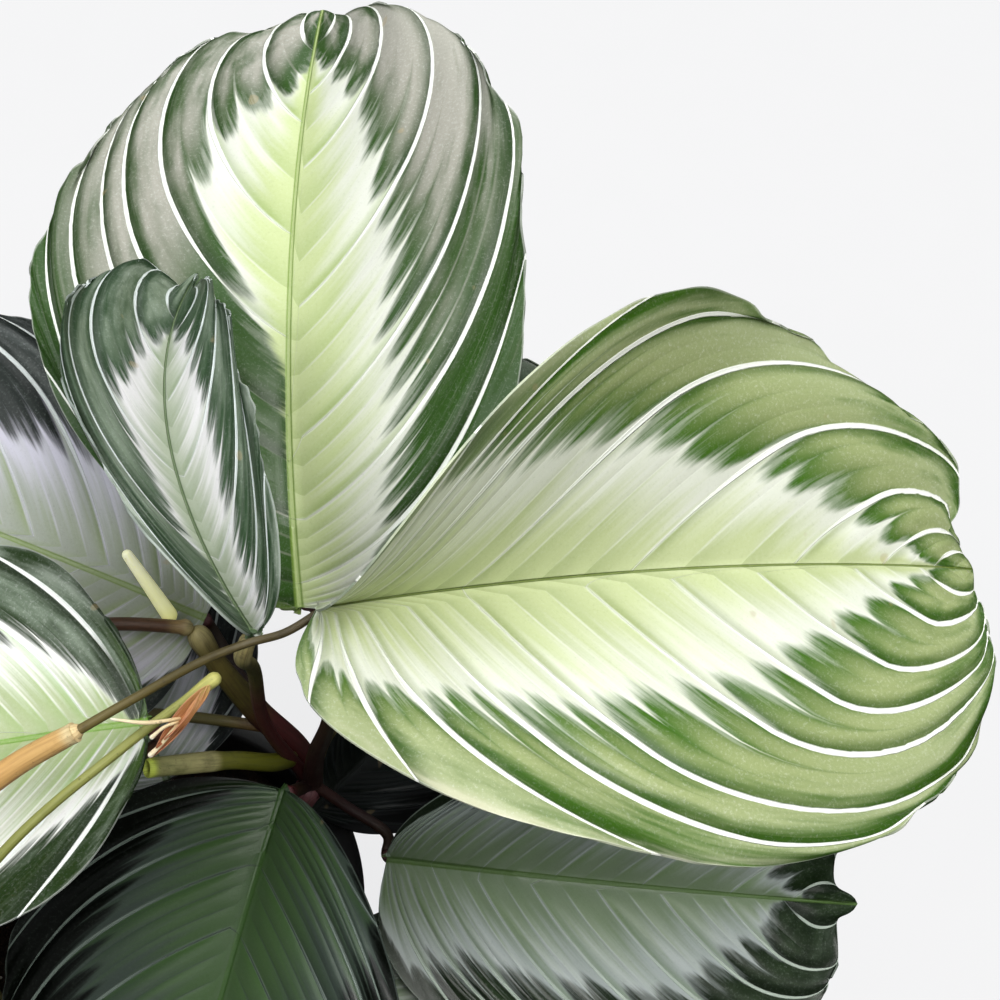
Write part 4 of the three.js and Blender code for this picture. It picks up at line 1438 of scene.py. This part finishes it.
# %% Bract finish
def bract_finish():
    f = Finish("bract_dry")
    across, along = f.own_map("Bract")
    off = abs(across * 2 - 1)
    stops = ((0, 186, 160, 90), (0.2, 200, 146, 88), (0.6, 178, 112, 60), (1, 150, 84, 46))
    body = f.shades(along, stops)
    fibre = f.noise(f.vector(across * 14, along * 3, 2.0), 1.0, 4, 0.65)
    body = f.mix(body, (120, 62, 40), fibre.rise(0.45, 0.7) * 0.6)
    body = f.mix(body, (232, 190, 158), fibre.fall(0.3, 0.45) * 0.5)
    body = f.mix(body, (206, 148, 116), off.rise(0.78, 0.96) * 0.5)
    return f.wear(base_color=body, roughness=0.7 + fibre * 0.15, normal=f.bump(fibre, 0.0003))


BRACT = bract_finish()
THREAD = stalk_finish(
    "flower_thread",
    [(0, 196, 158, 110), (0.25, 226, 206, 160), (0.85, 236, 220, 184), (1, 246, 240, 222)],
    (206, 170, 128), 0.3, 0.6,
)
print("finishes of the flower are ready")


# %% Bract
BRACT_SAG = 0.12
BRACT_SKIN = 0.16


def bract(name, start, end, width, fold, facing):
    """A pointed petal folded along its middle."""
    piece, net = grid(name, 10, 26)
    x, t = net[:, 0], (net[:, 1] + 1) / 2
    start, end = np.array(start, float), np.array(end, float)
    length = np.linalg.norm(end - start)
    along = (end - start) / length
    up = np.array(facing, float)
    up = up - along * up.dot(along)
    up = up / np.linalg.norm(up)
    side = np.cross(up, along)
    half = width * (np.sin(np.pi * np.clip(t, 0, 1) ** 0.75) ** 0.75 * 0.92 + 0.08 * (1 - t))
    lean = np.radians(fold * (1 - 0.35 * t))
    wrinkle = 0.12 * np.sin(9 * t + 2 * x) * np.abs(x)
    sag = -BRACT_SAG * length * np.sin(np.pi * t)
    lateral = half * x * np.cos(lean)
    height = half * np.abs(x) * np.sin(lean) + wrinkle + sag
    points = start + np.outer(t * length, along)
    points = points + np.outer(lateral, side) + np.outer(height, up)
    set_map(piece, "Bract", (x + 1) / 2, t)
    move_net(piece, points * MM)
    merge_close(piece, 3e-6)
    thicken(piece, BRACT_SKIN)
    piece.data.materials.append(BRACT)
    soften(piece, 60)
    return piece


flower = joined("flower_withered", [
    bract("bract_long", (34.2, -17.4, 236.3), (23.8, -27.2, 228), 1.5, 58, (-0.5, -0.2, 0.9)),
    bract("bract_wide", (34.5, -17.2, 236.5), (24.9, -26.5, 230.3), 1.75, 40, (0.4, -0.4, 0.9)),
    bract("bract_short", (33.6, -18, 236.1), (26.6, -25.6, 231.8), 1.3, 70, (-0.9, 0.1, 0.5)),
    stalk(
        "thread_low", [(28.9, -22.9, 232.8), (26, -25.4, 230.3), (23.5, -27.3, 228.6)],
        [(0, 0.32), (0.7, 0.38), (1, 0.5)], THREAD,
    ),
    stalk(
        "thread_mid", [(29.1, -22.7, 233.3), (26.6, -24, 233.5), (24.1, -25.6, 232.2)],
        [(0, 0.28), (0.7, 0.32), (1, 0.44)], THREAD,
    ),
    stalk(
        "thread_long", [(29.5, -22.3, 233.7), (23.6, -23.9, 235), (17.5, -23.8, 236.2)],
        [(0, 0.32), (0.6, 0.38), (1, 0.22)], THREAD,
    ),
])
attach(flower, "root")
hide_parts("withered_flower")
print("flower:", len(flower.data.polygons), "faces")

# %% [markdown]
# ## The soil
# Potting soil is a dark crumbly mix of peat, bark and white mineral grains. Its body is a plug
# turned to fit the pot, with a top roughened in coarse and fine lumps. The loose bits are one
# small lump modelled once and copied over it.

# %% Soil body
POT_FLOOR = 3
SOIL_SIDE_BOTTOM = 36.6
SOIL_SIDE_TOP = 46.4
WALL_RINGS = 8
TOP_RINGS = 46


def soil_height(x, y):
    """The soil's surface at a place, in millimetres."""
    coarse = noise.noise(Vector((x * 0.09, y * 0.09, 1.7))) * 1.3
    fine = noise.noise(Vector((x * 0.35, y * 0.35, 5.1))) * 0.6
    return SOIL_TOP + 0.2 + coarse + fine + noise.noise(Vector((x * 1.1, y * 1.1, 9.4))) * 0.35


def turned(name, profile, sides):
    """A grid wrapped round the upright axis. profile: radius and height of each ring."""
    piece, net = grid(name, sides, len(profile) - 1)
    ring = np.rint((net[:, 1] + 1) / 2 * (len(profile) - 1)).astype(int)
    radius, height = np.array(profile, float).T
    turn = np.pi * (net[:, 0] + 1)
    x, y = radius[ring] * np.cos(turn), radius[ring] * np.sin(turn)
    points = np.stack([x, y, height[ring]], -1)
    set_map(piece, "Turned", (net[:, 0] + 1) / 2, (net[:, 1] + 1) / 2)
    move_net(piece, points * MM)
    merge_close(piece, 3e-6)
    face_outwards(piece)
    return piece


soil_profile = [(0, POT_FLOOR + 0.3), (SOIL_SIDE_BOTTOM, POT_FLOOR + 0.3)]
for i in range(1, WALL_RINGS + 1):
    share = i / WALL_RINGS
    soil_profile.append((
        SOIL_SIDE_BOTTOM + (SOIL_SIDE_TOP - SOIL_SIDE_BOTTOM) * share,
        POT_FLOOR + 0.3 + (SOIL_TOP - 1 - POT_FLOOR) * share,
    ))
for i in range(1, TOP_RINGS + 1):
    soil_profile.append((SOIL_SIDE_TOP * (1 - i / TOP_RINGS), SOIL_TOP))
soil = turned("soil_body", soil_profile, 110)
soil_net = net_of(soil) / MM
for point in soil_net:
    if point[2] > SOIL_TOP - 0.1:
        fade = min(1, (SOIL_SIDE_TOP - math.hypot(point[0], point[1])) / 3)
        point[2] = SOIL_TOP + (soil_height(point[0], point[1]) - SOIL_TOP) * fade
move_net(soil, soil_net * MM)
surface = soil_net[soil_net[:, 2] > SOIL_TOP - 2, 2]
print("soil surface from", round(min(surface), 1), "to", round(max(surface), 1), "mm")


# %% Soil finish
def soil_finish(name, dark, light, fleck):
    f = Finish(name)
    place = f.place()
    lumps = f.noise(place, 320, 6, 0.7)
    fibres = f.noise(place, 1100, 4, 0.7)
    body = f.mix(dark, light, lumps.rise(0.38, 0.68))
    body = f.mix(body, fleck, fibres.rise(0.62, 0.74) * 0.6)
    return f.wear(
        base_color=body,
        roughness=0.86 + lumps * 0.1,
        specular_ior_level=0.25,
        normal=f.bump(lumps + fibres * 0.4, 0.0012),
    )


PEAT = soil_finish("soil_peat", (20, 14, 10), (52, 38, 28), (112, 88, 60))
BARK = soil_finish("soil_bark", (44, 28, 18), (92, 62, 40), (130, 100, 70))
MINERAL = soil_finish("soil_mineral", (168, 164, 152), (210, 206, 196), (236, 234, 228))
soil.data.materials.append(PEAT)
soften(soil, 80)
print("soil finishes:", [m.name for m in (PEAT, BARK, MINERAL)])

# %% Loose bits on the soil
STEM_SPOTS = ((26, -3.5), (2, -6), (-27.5, -22))
rng = np.random.default_rng(11)
deselect()
bpy.ops.mesh.primitive_ico_sphere_add(subdivisions=1, radius=1)
lump = take_name("crumb")
lump_net = net_of(lump)
move_net(lump, lump_net * (0.85 + 0.3 * rng.random((len(lump_net), 1))))
crumbs = []
for number in range(330):
    reach = 44 * math.sqrt(rng.random())
    angle = rng.random() * math.tau
    x, y = reach * math.cos(angle), reach * math.sin(angle)
    size = 0.35 + 1.15 * rng.random() ** 2.2
    if min(math.hypot(x - a, y - b) for a, b in STEM_SPOTS) < 3.4 + size:
        continue
    crumb = lump.copy()
    crumb.data = lump.data.copy()
    bpy.context.collection.objects.link(crumb)
    long, flat = 1 + 0.9 * rng.random(), 0.5 + 0.4 * rng.random()
    crumb.scale = [size * MM * v for v in (long, 1, flat)]
    crumb.rotation_euler = [rng.normal() * 0.3, rng.normal() * 0.3, rng.random() * math.tau]
    crumb.location = (x * MM, y * MM, (soil_height(x, y) + size * 0.25) * MM)
    crumb.data.materials.append((PEAT, BARK, BARK, MINERAL)[number % 4 if number % 3 else 0])
    crumbs.append(crumb)
bpy.data.objects.remove(lump)
bits = joined("soil_bits", crumbs)
bpy.ops.object.transform_apply(location=True, rotation=True, scale=True)
soil = joined("soil_mix", [soil, bits])
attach(soil, "root")
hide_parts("soil")
print("loose bits:", len(crumbs), "and soil faces:", len(soil.data.polygons))

# %% [markdown]
# ## The pot
# A thin black nursery pot: a tapered wall, a stepped rim, a flat foot and a ring of drain holes.
# It could be a cylinder scaled at one end, but the rim's step and the wall's thickness show, so a
# profile is turned round the axis, its corners are bevelled, and the holes are cut with drills.

# %% Pot body
POT_HEIGHT = 102
POT_PROFILE = (
    (0, 0), (30, 0), (37.5, 0), (39, 1.5), (40.7, 16), (42.3, 31), (44, 46), (45.6, 61), (47.2, 76),
    (48.6, 88.9), (52.3, 89.8), (52.7, 93.3), (53.5, 100), (52.5, 102), (48.6, 102), (48, 101.2),
    (44.4, 68), (40.7, 35), (37, 3), (0, 3),
)
POT_SIDES = 144
DRAIN_HOLES = 8
DRAIN_RADIUS = 4
DRAIN_CIRCLE = 26

pot = turned("pot_nursery", POT_PROFILE, POT_SIDES)
only(pot)
rounding = pot.modifiers.new("rounding", "BEVEL")
rounding.width = 0.45 * MM
rounding.segments = 3
rounding.limit_method = "ANGLE"
rounding.angle_limit = math.radians(18)
bpy.ops.object.modifier_apply(modifier=rounding.name)
drills = []
for i in range(DRAIN_HOLES):
    angle = math.tau * i / DRAIN_HOLES
    deselect()
    bpy.ops.mesh.primitive_cylinder_add(
        vertices=32,
        radius=DRAIN_RADIUS * MM,
        depth=12 * MM,
        location=(DRAIN_CIRCLE * MM * math.cos(angle), DRAIN_CIRCLE * MM * math.sin(angle), 1.5 * MM),
    )
    drills.append(bpy.context.active_object)
drill = joined("drills", drills)
bpy.ops.object.transform_apply(location=True, rotation=True, scale=True)
only(pot)
cut = pot.modifiers.new("drain", "BOOLEAN")
cut.operation = "DIFFERENCE"
cut.solver = "EXACT"
cut.object = drill
bpy.ops.object.modifier_apply(modifier=cut.name)
bpy.data.objects.remove(drill)
print("pot faces:", len(pot.data.polygons))


# %% Pot finish
def pot_finish():
    f = Finish("pot_plastic")
    place = f.place()
    split = f.node("ShaderNodeSeparateXYZ", values={0: place}, output=2)
    height = split / (POT_HEIGHT * MM)
    cloud = f.noise(place, 36, 5, 0.6)
    peel = f.noise(place, 900, 2, 0.5)
    body = f.mix((21, 22, 24), (32, 33, 35), cloud.rise(0.35, 0.7))
    flattened = f.node("ShaderNodeMapping", values={"Vector": place, "Scale": (30, 30, 700)})
    scuff = f.noise(flattened, 1.0, 4, 0.7)
    body = f.mix(body, (78, 77, 74), scuff.rise(0.62, 0.72) * 0.35)
    dust = cloud.rise(0.4, 0.7) * (height.fall(0.0, 0.35) * 0.5 + height.rise(0.84, 0.9) * 0.2)
    body = f.mix(body, (104, 96, 84), dust * 0.5)
    return f.wear(
        base_color=body,
        roughness=0.4 + cloud * 0.16 + dust * 0.2,
        normal=f.bump(peel * 0.5 + scuff * 0.15, 0.00012),
    )


pot.data.materials.clear()
pot.data.materials.append(pot_finish())
soften(pot, 40)
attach(pot, "root")
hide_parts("pot")
print("pot is", round(2 * max(net_of(pot)[:, 0]) / MM, 1), "mm across the rim")
